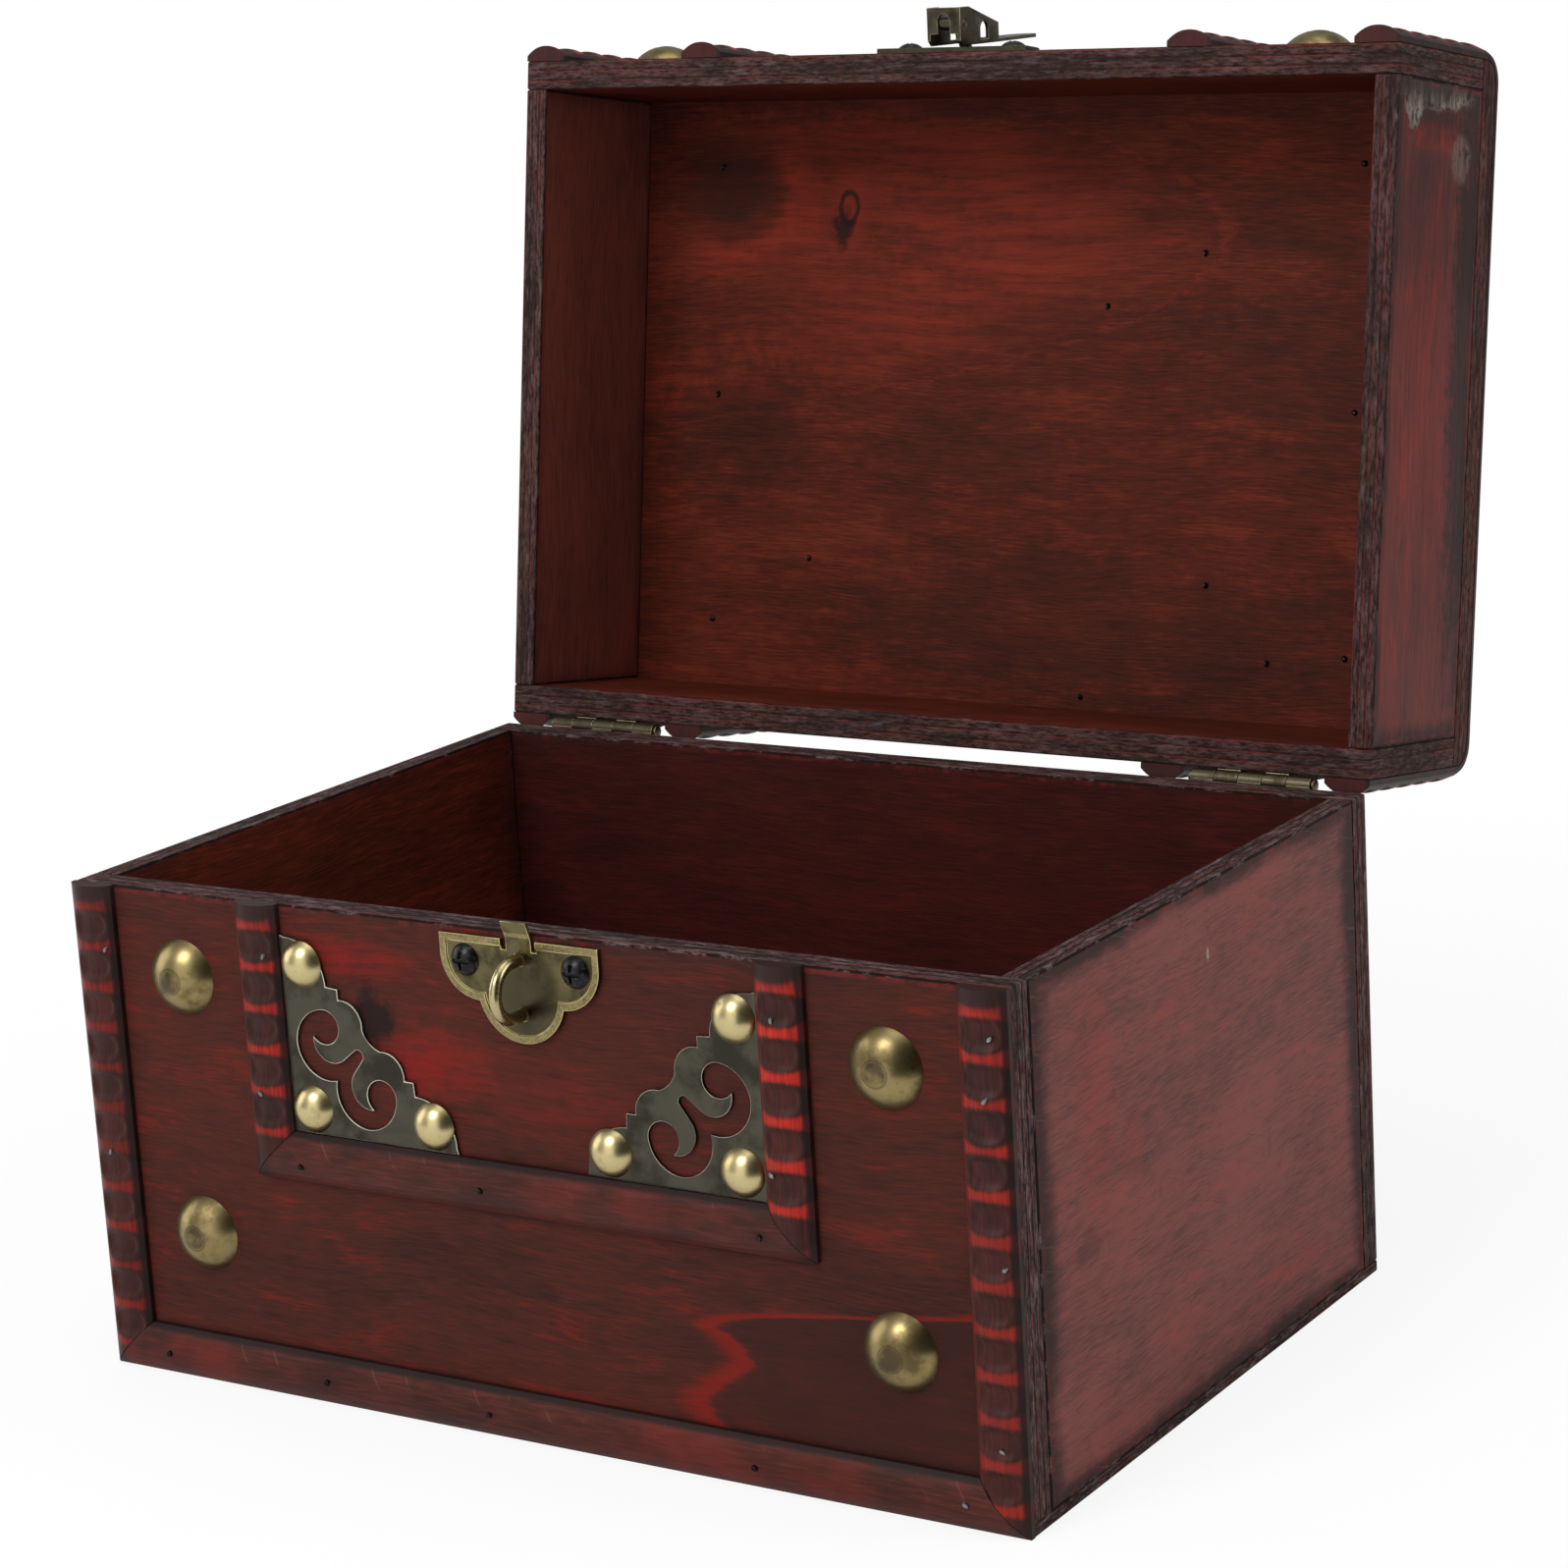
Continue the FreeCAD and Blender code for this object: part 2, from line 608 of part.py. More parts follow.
def build_mouldings():
    """Notched and plain mouldings of the base front and the straps over the lid."""
    edge = HALF_WIDTH - s.strip_width
    upright("base_left_strip", -HALF_WIDTH, Size.of(0), False)
    upright("base_right_strip", edge, Size.of(0), True)
    sill("base_bottom_strip", HALF_WIDTH, Size.of(0))
    inner = FRAME_HALF - s.strip_width
    upright("frame_left_strip", -FRAME_HALF, FRAME_FOOT, False)
    upright("frame_right_strip", inner, FRAME_FOOT, True)
    sill("frame_bottom_strip", FRAME_HALF, FRAME_FOOT)
    strap("lid_left_strap", -HALF_WIDTH)
    strap("lid_right_strap", edge)
    strap("lid_inner_left_strap", -FRAME_HALF)
    strap("lid_inner_right_strap", inner)


def corner_plate(label, side):
    """Filigree plate with a stepped ogee edge, pierced by one closed double scroll."""
    unit = s.plate_leg / SCROLL_GRID

    def spot(along, up, *arc):
        point = (side * (PLATE_X - along * unit), PLATE_Z + up * unit)
        if not arc:
            return point
        return point + (arc[0] * unit, -side * arc[1])

    piece = Piece(label)
    plate = piece.draw("XZ_Plane", HALF_DEPTH)
    plate.loop(
        [
            spot(0, 0),
            spot(SCROLL_GRID, 0),
            spot(40.6, 1.2),
            spot(31.2, 10.8, 9.5, 1),
            spot(31, 13.7),
            spot(28.8, 13.7),
            spot(23.2, 19.2, 5, 1),
            spot(19.2, 23.2, 6, -1),
            spot(13.7, 28.8, 5, 1),
            spot(13.7, 31),
            spot(10.8, 31.2),
            spot(1.2, 40.6, 9.5, 1),
            spot(0, SCROLL_GRID),
        ]
    )
    # The scroll runs from the cusp round one curl, over the stem's tip and round the other curl.
    plate.loop(
        [
            spot(11.9, 11.9, 7.5, 1),
            spot(19.2, 2.5, 7.5, 1),
            spot(26.2, 8.7, 7.5, 1),
            spot(22.7, 13.15, 3.6, 1),
            spot(20.7, 6.65, 3.6, 1),
            spot(16.1, 13.7, 4.6, -1),
            spot(18.8, 17.2),
            spot(17.2, 18.8, 1.3, 1),
            spot(13.7, 16.1),
            spot(6.65, 20.7, 4.6, -1),
            spot(13.15, 22.7, 3.6, 1),
            spot(8.7, 26.2, 3.6, 1),
            spot(2.5, 19.2, 7.5, 1),
        ]
    )
    for along, up in NAIL_STEPS:
        plate.ring(side * (PLATE_X - along), PLATE_Z + up, s.nail_shank + s.hole_gap)
    piece.solid("Pad", plate.done(), s.plate_thickness)
    keep(piece.stand(STILL))


def clover(drawing, edge, sign, inside=False):
    """Clover outline with its straight edge at a height and its lobes up or down.

    The inside one is drawn a border's width in from the plate's own.
    """
    turn = -sign
    border = s.border_width if inside else Size.of(0)
    across = s.border_waist if inside else Size.of(0)
    along = s.border_waist_depth if inside else Size.of(0)
    half = s.clover_half - border
    waist = s.clover_waist - across
    waist_depth = s.clover_waist_depth - along
    side_radius = s.clover_shoulder_radius - border
    lobe_radius = s.clover_lobe_radius - border

    def spot(aside, depth, *arc):
        return (s.latch_x + aside, edge + sign * depth) + arc

    return drawing.loop(
        [
            spot(-half, border),
            spot(-half, s.clover_shoulder),
            spot(-waist, waist_depth, side_radius, turn),
            spot(Size.of(0), s.clover_reach - border, lobe_radius, turn),
            spot(waist, waist_depth, lobe_radius, turn),
            spot(half, s.clover_shoulder, side_radius, turn),
            spot(half, border),
        ]
    )


def clover_plate(label, edge, sign, holes):
    """Clover plate with a raised border and drilled holes."""
    piece = Piece(label)
    plate = clover(piece.draw("XZ_Plane", HALF_DEPTH), edge, sign)
    for across, up, radius in holes:
        plate.ring(across, up, radius + s.hole_gap)
    piece.solid("Pad", plate.done(), s.plate_thickness)
    rim = clover(piece.draw("XZ_Plane", HALF_DEPTH + s.plate_thickness), edge, sign)
    piece.solid("Pad", clover(rim, edge, sign, inside=True).done(), s.border_rise)
    return piece


def build_keeper():
    """Clover plate of the base with its lanced tab, and the staple."""
    holes = drilled(KEEPER_SCREWS, s.screw_shank) + drilled(FEET, s.wire_radius)
    piece = clover_plate("keeper_plate", KEEPER_EDGE, -1, holes)
    lance = s.tab_half + s.tab_slit
    gap = piece.draw("XZ_Plane", HALF_DEPTH + s.plate_thickness * 2)
    gap.box(s.latch_x - lance, s.latch_x + lance, KEEPER_EDGE - s.tab_root, s.base_height)
    piece.solid("Pocket", gap.done(), s.plate_thickness * 4)
    face = -HALF_DEPTH
    outer = face - s.plate_thickness
    top = s.base_height + s.tab_rise
    root = KEEPER_EDGE - s.tab_root - s.tab_lap
    tab = piece.draw("YZ_Plane", s.latch_x).loop(
        [
            (face, root),
            (face, KEEPER_EDGE),
            (face - s.tab_lean, top),
            (outer - s.tab_lean, top),
            (outer, KEEPER_EDGE),
            (outer, root),
        ]
    )
    piece.solid("Pad", tab.done(), s.tab_half * 2, both=True)
    keep(piece.stand(STILL))
    staple = Piece("padlock_staple")
    inside = face + s.staple_root
    knee = face - s.staple_reach + s.staple_half + s.wire_radius
    high = STAPLE_Z + s.staple_half
    low = STAPLE_Z - s.staple_half
    crown = knee - s.staple_half
    foot = staple.draw("XZ_Plane", -inside).ring(s.latch_x, high, s.wire_radius).done()
    spine = staple.draw("YZ_Plane", s.latch_x).path(
        [
            (inside, high),
            (knee, high),
            (crown, STAPLE_Z, s.staple_half, 1),
            (knee, low, s.staple_half, 1),
            (inside, low),
        ]
    )
    pipe = staple.body.newObject("PartDesign::AdditivePipe", "Bend")
    pipe.Profile = foot
    pipe.Spine = (spine.done(), [])
    keep(staple.stand(STILL))


def build_hasp():
    """Clover plate of the lid with its lug, the hasp and the pin."""
    piece = clover_plate("hasp_plate", HASP_EDGE, 1, drilled(HASP_SCREWS, s.screw_shank))
    half = s.lug_thickness / 2
    face = -HALF_DEPTH
    ring_low = PIN_Z + (s.knuckle_radius + s.pin_radius) / 2
    lug = piece.draw("YZ_Plane", s.latch_x).loop(
        [
            (PIN_Y - half, ring_low),
            (PIN_Y + half, ring_low),
            (PIN_Y + half, PIN_Z + s.lug_neck - half),
            (face, PIN_Z + s.lug_root - half),
            (face, PIN_Z + s.lug_root + half),
            (PIN_Y - half, PIN_Z + s.lug_neck + half),
        ]
    )
    piece.solid("Pad", lug.done(), s.lug_half * 2, both=True)
    knuckle = piece.draw("YZ_Plane", s.latch_x).ring(PIN_Y, PIN_Z, s.knuckle_radius)
    knuckle.ring(PIN_Y, PIN_Z, s.pin_radius + s.running)
    piece.solid("Pad", knuckle.done(), s.lug_half * 2, both=True)
    keep(piece.stand(OPEN))

    # The hasp is drawn about its pin: tongue along +Z, open side towards -Y.
    fold = OPEN.multiply(
        FreeCAD.Placement(
            FreeCAD.Vector(s.latch_x.value, PIN_Y.value, PIN_Z.value),
            FreeCAD.Rotation(FreeCAD.Vector(1, 0, 0), s.hasp_tilt.value),
        )
    )
    hasp = Piece("hasp")
    floor = s.hasp_pin_depth
    sheet = floor - s.hasp_sheet
    mouth = floor - s.cheek_height
    cheek = hasp.draw("YZ_Plane").loop(
        [
            (floor - s.heel_cut, -s.hasp_heel),
            (floor, s.heel_cut - s.hasp_heel),
            (floor, s.tail_end),
            (sheet, s.tail_end),
            (sheet, s.cheek_end),
            (floor - s.cheek_toe, s.cheek_end),
            (mouth, s.hasp_heel),
            (mouth, -s.hasp_heel),
        ]
    )
    hasp.solid("Pad", cheek.done(), s.hasp_half * 2, both=True)
    beyond = s.cheek_height
    inside = hasp.draw("YZ_Plane").box(
        floor + beyond, mouth - beyond, s.hasp_sheet - s.hasp_heel, s.slot_end
    )
    hasp.solid("Pocket", inside.done(), (s.hasp_half - s.hasp_sheet) * 2, both=True)
    foot = hasp.draw("YZ_Plane").box(
        floor + beyond, floor - s.post_foot, -s.hasp_heel * 2, Size.of(0)
    )
    hasp.solid("Pocket", foot.done(), (s.hasp_half - s.hasp_sheet) * 2, both=True)
    arch = floor - s.window_top
    window = hasp.draw("XY_Plane").loop(
        [
            (-s.window_half, floor + beyond),
            (-s.window_half, arch + s.window_half),
            (Size.of(0), arch, s.window_half, 1),
            (s.window_half, arch + s.window_half, s.window_half, 1),
            (s.window_half, floor + beyond),
        ]
    )
    hasp.solid("Pocket", window.done(), s.hasp_heel * 2)
    wide = s.hasp_half * 2
    for sign in (-1, 1):
        taper = hasp.draw("XZ_Plane").loop(
            [
                (sign * s.hasp_half, s.cheek_end),
                (sign * s.tail_half, s.tail_end - s.tail_half),
                (Size.of(0), s.tail_end, s.tail_half, sign),
                (sign * wide, s.tail_end),
                (sign * wide, s.cheek_end),
            ]
        )
        hasp.solid("Pocket", taper.done(), s.cheek_height * 4, both=True)
    eye_foot = floor - s.eye_low
    eye_top = eye_foot - s.eye_straight
    eye = hasp.draw("YZ_Plane").loop(
        [
            (eye_foot, s.eye_along + s.eye_half),
            (eye_top, s.eye_along + s.eye_half),
            (eye_top - s.eye_half, s.eye_along, s.eye_half, 1),
            (eye_top, s.eye_along - s.eye_half, s.eye_half, 1),
            (eye_foot, s.eye_along - s.eye_half),
        ]
    )
    hasp.solid("Pocket", eye.done(), s.hasp_half * 4, both=True)
    bore = hasp.draw("YZ_Plane").ring(0, 0, s.pin_radius + s.hole_gap).done()
    hasp.solid("Pocket", bore, s.hasp_half * 4, both=True)
    keep(hasp.stand(fold))
    pin = Piece("hasp_pin")
    rod = pin.draw("YZ_Plane").ring(0, 0, s.pin_radius).done()
    pin.solid("Pad", rod, s.hasp_half * 2, both=True)
    keep(pin.stand(fold))


def hinge_leaf(label, middle, sign, odd, placement):
    """Hinge leaf with its screw holes and every other knuckle."""
    piece = Piece(label)
    half = HINGE_LENGTH / 2
    outer = -HALF_DEPTH - s.leaf_thickness
    ends = [HINGE_Z + sign * s.leaf_clear, HINGE_Z + sign * s.leaf_reach]
    leaf = piece.draw("XZ_Plane", outer).box(middle - half, middle + half, ends[0], ends[1])
    for step in (-1, 1):
        across = middle + step * LEAF_STEP
        leaf.ring(across, HINGE_Z + sign * s.leaf_screw_reach, s.leaf_screw_shank + s.hole_gap)
    piece.solid("Pad", leaf.done(), s.leaf_thickness)
    pitch = HINGE_LENGTH / s.knuckles
    for number in range(int(s.knuckles.value)):
        if (number % 2 == 0) != odd:
            continue
        start = middle - half + pitch * number + s.knuckle_gap / 2
        web = piece.draw("YZ_Plane", start)
        web.box(HALF_DEPTH, HALF_DEPTH + s.leaf_thickness, HINGE_Z, HINGE_Z + sign * s.leaf_clear)
        piece.solid("Pad", web.done(), pitch - s.knuckle_gap)
        barrel = piece.draw("YZ_Plane", start).ring(HINGE_Y, HINGE_Z, s.barrel_radius)
        barrel.ring(HINGE_Y, HINGE_Z, s.hinge_pin_radius + s.running)
        piece.solid("Pad", barrel.done(), pitch - s.knuckle_gap)
    keep(piece.stand(placement))


def build_hinges():
    """Two butt hinges behind the back edge."""
    for name, side in (("left", -1), ("right", 1)):
        middle = side * FIELD_X
        hinge_leaf("%s_hinge_base_leaf" % name, middle, -1, True, STILL)
        hinge_leaf("%s_hinge_lid_leaf" % name, middle, 1, False, OPEN)
        pin = Piece("%s_hinge_pin" % name)
        inner = HINGE_LENGTH / 2
        outer = inner + s.hinge_head_length
        rod = pin.draw("XY_Plane").loop(
            [
                (-outer, 0),
                (outer, 0),
                (outer, s.hinge_pin_head),
                (inner, s.hinge_pin_head),
                (inner, s.hinge_pin_radius),
                (-inner, s.hinge_pin_radius),
                (-inner, s.hinge_pin_head),
                (-outer, s.hinge_pin_head),
            ]
        )
        pin.turn(rod.done(), "H_Axis")
        spot = FreeCAD.Vector(middle.value, HINGE_Y.value, HINGE_Z.value)
        keep(pin.stand(FreeCAD.Placement(spot, FreeCAD.Rotation())))


def build_fasteners():
    """Tacks, nails and screws, each set copied from one turned pattern."""
    tack = fastener(
        "tack_pattern", s.tack_radius, s.tack_height, s.tack_shank,
        s.front_wall - s.tack_sink, Size.of(0),
    )
    top_tack = fastener(
        "top_tack_pattern", s.tack_radius, s.tack_height, s.tack_shank,
        s.top_thickness, s.tack_tip,
    )
    nail = fastener(
        "nail_pattern", s.nail_radius, s.nail_height, s.nail_shank,
        s.plate_thickness + s.nail_length, Size.of(0),
    )
    screw = fastener(
        "screw_pattern", s.screw_head, s.screw_rise, s.screw_shank,
        s.plate_thickness + s.screw_length, Size.of(0),
    )
    cross_slot(screw, s.screw_rise)
    leaf_screw = fastener(
        "leaf_screw_pattern", s.leaf_screw_head, s.leaf_screw_rise, s.leaf_screw_shank,
        s.leaf_thickness + s.screw_length, Size.of(0),
    )
    DOC.recompute()
    face = -HALF_DEPTH
    skin = face - s.plate_thickness
    rear = HALF_DEPTH + s.leaf_thickness
    group("base_tacks", tack, [(x, face, z, False) for x, z in TACKS])
    group("lid_front_tacks", tack, [(x, face, z, False) for x, z in LID_TACKS], OPEN)
    group("corner_nails", nail, [(x, skin, z, False) for x, z in NAILS])
    group("keeper_screws", screw, [(x, skin, z, False) for x, z in KEEPER_SCREWS])
    group("hasp_plate_screws", screw, [(x, skin, z, False) for x, z in HASP_SCREWS], OPEN)
    group("base_hinge_screws", leaf_screw, [(x, rear, z, True) for x, z in BASE_LEAF_SCREWS])
    group("lid_hinge_screws", leaf_screw, [(x, rear, z, True) for x, z in LID_LEAF_SCREWS], OPEN)
    upward = FreeCAD.Rotation(FreeCAD.Vector(1, 0, 0), -90)
    heads = []
    for across, back in TOP_TACKS:
        spot = FreeCAD.Vector(across.value, back.value, LID_TOP.value)
        heads.append(placed(top_tack, FreeCAD.Placement(spot, upward)))
    feature = DOC.addObject("Part::Feature", "lid_top_tacks")
    feature.Label = "lid_top_tacks"
    feature.Shape = Part.makeCompound(heads)
    feature.Placement = OPEN
    keep(feature)


def write_out():
    """Check every object and write each sub-part to its own file."""
    DOC.recompute()
    for item in DOC.Objects:
        if "Invalid" in item.State or "Error" in item.State:
            raise RuntimeError("%s is not sound: %s" % (item.Label, item.State))
    os.makedirs("parts", exist_ok=True)
    for item in PIECES:
        if item.Shape.isNull() or not item.Shape.isValid():
            raise RuntimeError("%s has no valid shape" % item.Label)
    for item in PIECES:
        item.Shape.exportStep("parts/%s.step" % item.Label)
        print(item.Label, len(item.Shape.Solids), round(item.Shape.Volume, 1))


build_base_panels()
build_lid_panels()
build_mouldings()
corner_plate("left_corner_plate", -1)
corner_plate("right_corner_plate", 1)
build_keeper()
build_hasp()
build_hinges()
build_fasteners()
write_out()
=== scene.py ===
"""Dresses the hinged wooden box: stained plywood, pressed mouldings and antique brass."""

from __future__ import annotations

import json
import logging
import math
from dataclasses import dataclass
from enum import Enum
from typing import Any, Sequence, Union

import bmesh
import bpy
from bmesh.types import BMEdge, BMesh, BMFace
from bpy.types import ID, Curve, Material, Mesh, Node, NodeSocket, NodeTree, Object
from mathutils import Matrix, Vector


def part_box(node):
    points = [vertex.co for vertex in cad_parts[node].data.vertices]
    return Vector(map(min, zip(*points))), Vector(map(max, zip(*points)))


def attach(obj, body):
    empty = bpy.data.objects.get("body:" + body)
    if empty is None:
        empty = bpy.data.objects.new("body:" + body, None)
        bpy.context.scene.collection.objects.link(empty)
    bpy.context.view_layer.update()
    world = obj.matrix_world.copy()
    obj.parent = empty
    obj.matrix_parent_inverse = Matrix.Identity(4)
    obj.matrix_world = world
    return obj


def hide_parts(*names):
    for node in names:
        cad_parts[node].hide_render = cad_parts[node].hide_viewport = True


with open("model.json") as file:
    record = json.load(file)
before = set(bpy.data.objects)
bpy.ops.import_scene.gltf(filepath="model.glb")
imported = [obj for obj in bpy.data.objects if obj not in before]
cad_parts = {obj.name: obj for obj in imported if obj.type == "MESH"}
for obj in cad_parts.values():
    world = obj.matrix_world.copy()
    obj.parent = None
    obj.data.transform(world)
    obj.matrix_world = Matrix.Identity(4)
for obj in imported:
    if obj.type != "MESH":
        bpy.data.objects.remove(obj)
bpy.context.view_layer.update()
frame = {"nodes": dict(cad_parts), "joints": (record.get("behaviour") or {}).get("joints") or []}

LOG = logging.getLogger("wooden_box")
MM = 0.001
WELD = 2e-6
TOUCH = 1e-5
LONG = 0.1
IN_FRONT = -0.2
FLAT = math.radians(0.4)
SHARP = math.radians(32)
PLY_SMOOTH = 20.0
METAL_SMOOTH = 24.0
MOULDING_SMOOTH = 42.0
TOP_STEPS = 12

Colour = tuple[float, float, float]
Places = Sequence[Sequence[float]]


class Body(Enum):
    """The three moving bodies of the box."""

    BASE = "base"
    LID = "lid"
    HASP = "hasp"


class Axis(Enum):
    """The box's own directions: across the front, front to back, and up."""

    WIDTH = 0
    DEPTH = 1
    HEIGHT = 2


class Facing(Enum):
    """The way that a group of heads faces, as a turn about the width."""

    FRONT = math.radians(90)
    UP = 0.0
    DOWN = math.radians(180)


class FigureKind(Enum):
    """Marks laid on a panel's face: the grown wood's figure and its stain, and one band of painted shade."""

    FLAME = "flame"
    KNOT = "knot"
    EYE = "eye"
    DARK = "dark"
    RED = "red"
    PALE = "pale"
    ARCH = "arch"


def opening_turn() -> Matrix:
    """Finds the turn of the lid about its hinge.

    Returns:
        The matrix that takes the closed lid to its open stand.
    """
    joint = next(item for item in frame["joints"] if item["name"] == "lid_hinge")
    hinge = Matrix.Translation(joint["pos_m"])
    angle = -math.radians(joint["range_deg"][1])
    return hinge @ Matrix.Rotation(angle, 4, "X") @ hinge.inverted()


OPEN = opening_turn()
SHUT = OPEN.inverted()


class Term:
    """A node socket that takes part in Python arithmetic."""

    def __init__(self, tree: Tree, socket: NodeSocket) -> None:
        """Holds a socket and the tree that it belongs to."""
        self.tree = tree
        self.socket = socket

    def __add__(self, other: Feed) -> Term:
        """Adds a value."""
        return self.tree.math("ADD", self, other)

    __radd__ = __add__

    def __sub__(self, other: Feed) -> Term:
        """Takes a value away."""
        return self.tree.math("SUBTRACT", self, other)

    def __rsub__(self, other: Feed) -> Term:
        """Takes this away from a value."""
        return self.tree.math("SUBTRACT", other, self)

    def __mul__(self, other: Feed) -> Term:
        """Multiplies by a value."""
        return self.tree.math("MULTIPLY", self, other)

    __rmul__ = __mul__

    def __truediv__(self, other: Feed) -> Term:
        """Divides by a value."""
        return self.tree.math("DIVIDE", self, other)

    def __rtruediv__(self, other: Feed) -> Term:
        """Divides a value by this."""
        return self.tree.math("DIVIDE", other, self)

    def __pow__(self, other: Feed) -> Term:
        """Raises to a power."""
        return self.tree.math("POWER", self, other)

    def __abs__(self) -> Term:
        """Drops the sign."""
        return self.tree.math("ABSOLUTE", self)


Feed = Union[Term, float, Sequence[float]]


class Tree:
    """A node tree that is written as Python expressions."""

    def __init__(self, tree: NodeTree) -> None:
        """Holds the tree that nodes are added to."""
        self.tree = tree

    def node(self, kind: str, inputs: dict[Any, Any], **settings: Any) -> Node:
        """Adds a node.

        Args:
            kind: The node's type.
            inputs: Values or links for its sockets, by name or place.
            settings: Its settings, which are set first.

        Returns:
            The new node.
        """
        made = self.tree.nodes.new(kind)
        for name, value in settings.items():
            setattr(made, name, value)
        for name, value in inputs.items():
            self.feed(made.inputs[name], value)
        return made

    def feed(self, socket: NodeSocket, value: Any) -> None:
        """Gives a socket a value or a link.

        Args:
            socket: The socket.
            value: The value, or a term to link.
        """
        if isinstance(value, Term):
            self.tree.links.new(value.socket, socket)
        else:
            socket.default_value = value

    def term(self, kind: str, inputs: dict[Any, Any], output: Any = 0, **settings: Any) -> Term:
        """Adds a node and takes one of its outputs, by name or place."""
        return Term(self, self.node(kind, inputs, **settings).outputs[output])

    def math(self, operation: str, first: Feed, second: Feed = 0.0) -> Term:
        """Adds a Math node for one or two values."""
        return self.term("ShaderNodeMath", {0: first, 1: second}, operation=operation)

    def smooth(self, value: Feed, low: Feed, high: Feed) -> Term:
        """Eases a value from 0 at low to 1 at high."""
        span = {"Value": value, "From Min": low, "From Max": high}
        return self.term("ShaderNodeMapRange", span, interpolation_type="SMOOTHSTEP")

    def parts(self, vector: Term) -> tuple[Term, Term, Term]:
        """Splits a vector into its three values."""
        split = self.node("ShaderNodeSeparateXYZ", {0: vector})
        return Term(self, split.outputs[0]), Term(self, split.outputs[1]), Term(self, split.outputs[2])

    def vector(self, x: Feed, y: Feed, z: Feed) -> Term:
        """Joins three values into a vector."""
        return self.term("ShaderNodeCombineXYZ", {0: x, 1: y, 2: z})


class Shader(Tree):
    """A material whose pattern is written as expressions on the piece's own coordinates."""

    def __init__(self, name: str) -> None:
        """Starts a material with one Principled surface.

        Args:
            name: The material's name.
        """
        self.material = bpy.data.materials.new(name)
        self.material.use_nodes = True
        super().__init__(self.material.node_tree)
        self.surface = self.tree.nodes["Principled BSDF"]

    def place(self, lid: bool) -> Term:
        """Reads the piece's coordinates.

        Args:
            lid: True for a piece of the lid, whose pattern is laid out with the lid shut.

        Returns:
            The coordinates in metres.
        """
        spot = self.term("ShaderNodeTexCoord", {}, "Object")
        if not lid:
            return spot
        turn = {"Location": SHUT.translation, "Rotation": SHUT.to_euler()}
        return self.term("ShaderNodeMapping", {"Vector": spot, **turn})

    def noise(self, vector: Term, scale: float, detail: float = 3.0, rough: float = 0.55) -> Term:
        """Adds a noise pattern from 0 to 1."""
        values = {"Vector": vector, "Scale": scale, "Detail": detail, "Roughness": rough}
        return self.term("ShaderNodeTexNoise", values)

    def stretched(self, x: Feed, y: Feed, z: Feed, detail: float = 3.0, rough: float = 0.55) -> Term:
        """Adds a noise pattern that is drawn out by its own scale along each axis."""
        return self.noise(self.vector(x, y, z), 1.0, detail, rough)

    def mix(self, share: Feed, first: Any, second: Any) -> Term:
        """Mixes two colours.

        Args:
            share: How much of the second colour shows.
            first: A colour or a link.
            second: A colour or a link.

        Returns:
            The mixed colour.
        """
        pair = [value if isinstance(value, Term) else (*value, 1.0) for value in (first, second)]
        return self.term("ShaderNodeMix", {0: share, 6: pair[0], 7: pair[1]}, 2, data_type="RGBA")

    def attribute(self, name: str) -> Term:
        """Reads a value that the piece's own mesh carries."""
        return self.term("ShaderNodeAttribute", {}, "Fac", attribute_name=name)

    def relief(self, height: Term, strength: float, depth: float) -> None:
        """Raises the surface by a height pattern."""
        bump = {"Height": height, "Strength": strength, "Distance": depth}
        self.feed(self.surface.inputs["Normal"], self.term("ShaderNodeBump", bump))

    def finish(self, **sockets: Any) -> Material:
        """Sets the surface's sockets.

        Args:
            sockets: Values or links, by socket name with spaces written as underscores.

        Returns:
            The finished material.
        """
        for name, value in sockets.items():
            self.feed(self.surface.inputs[name.replace("_", " ")], value)
        return self.material


@dataclass(frozen=True)
class Stain:
    """One coat of stain on veneer: its tones, its red rubbing, its dark border and its grey film, which is
    part haze and part painted sheen.
    """

    deep: Colour
    body: Colour
    warm: Colour
    red: Colour
    redness: float
    burnish: float
    border: float
    film_and_sheen: float
    rough: float


@dataclass(frozen=True)
class Figure:
    """A mark on a panel's face, placed and sized in millimetres along and across the grain."""

    kind: FigureKind
    along: float
    across: float
    reach: float
    spread: float
    strength: float


FLAME, KNOT, EYE, DARK, RED, PALE, ARCH = FigureKind


def marks(*rows: tuple[Any, ...]) -> tuple[Figure, ...]:
    """Makes a panel's marks from rows of their values."""
    return tuple(Figure(*row) for row in rows)


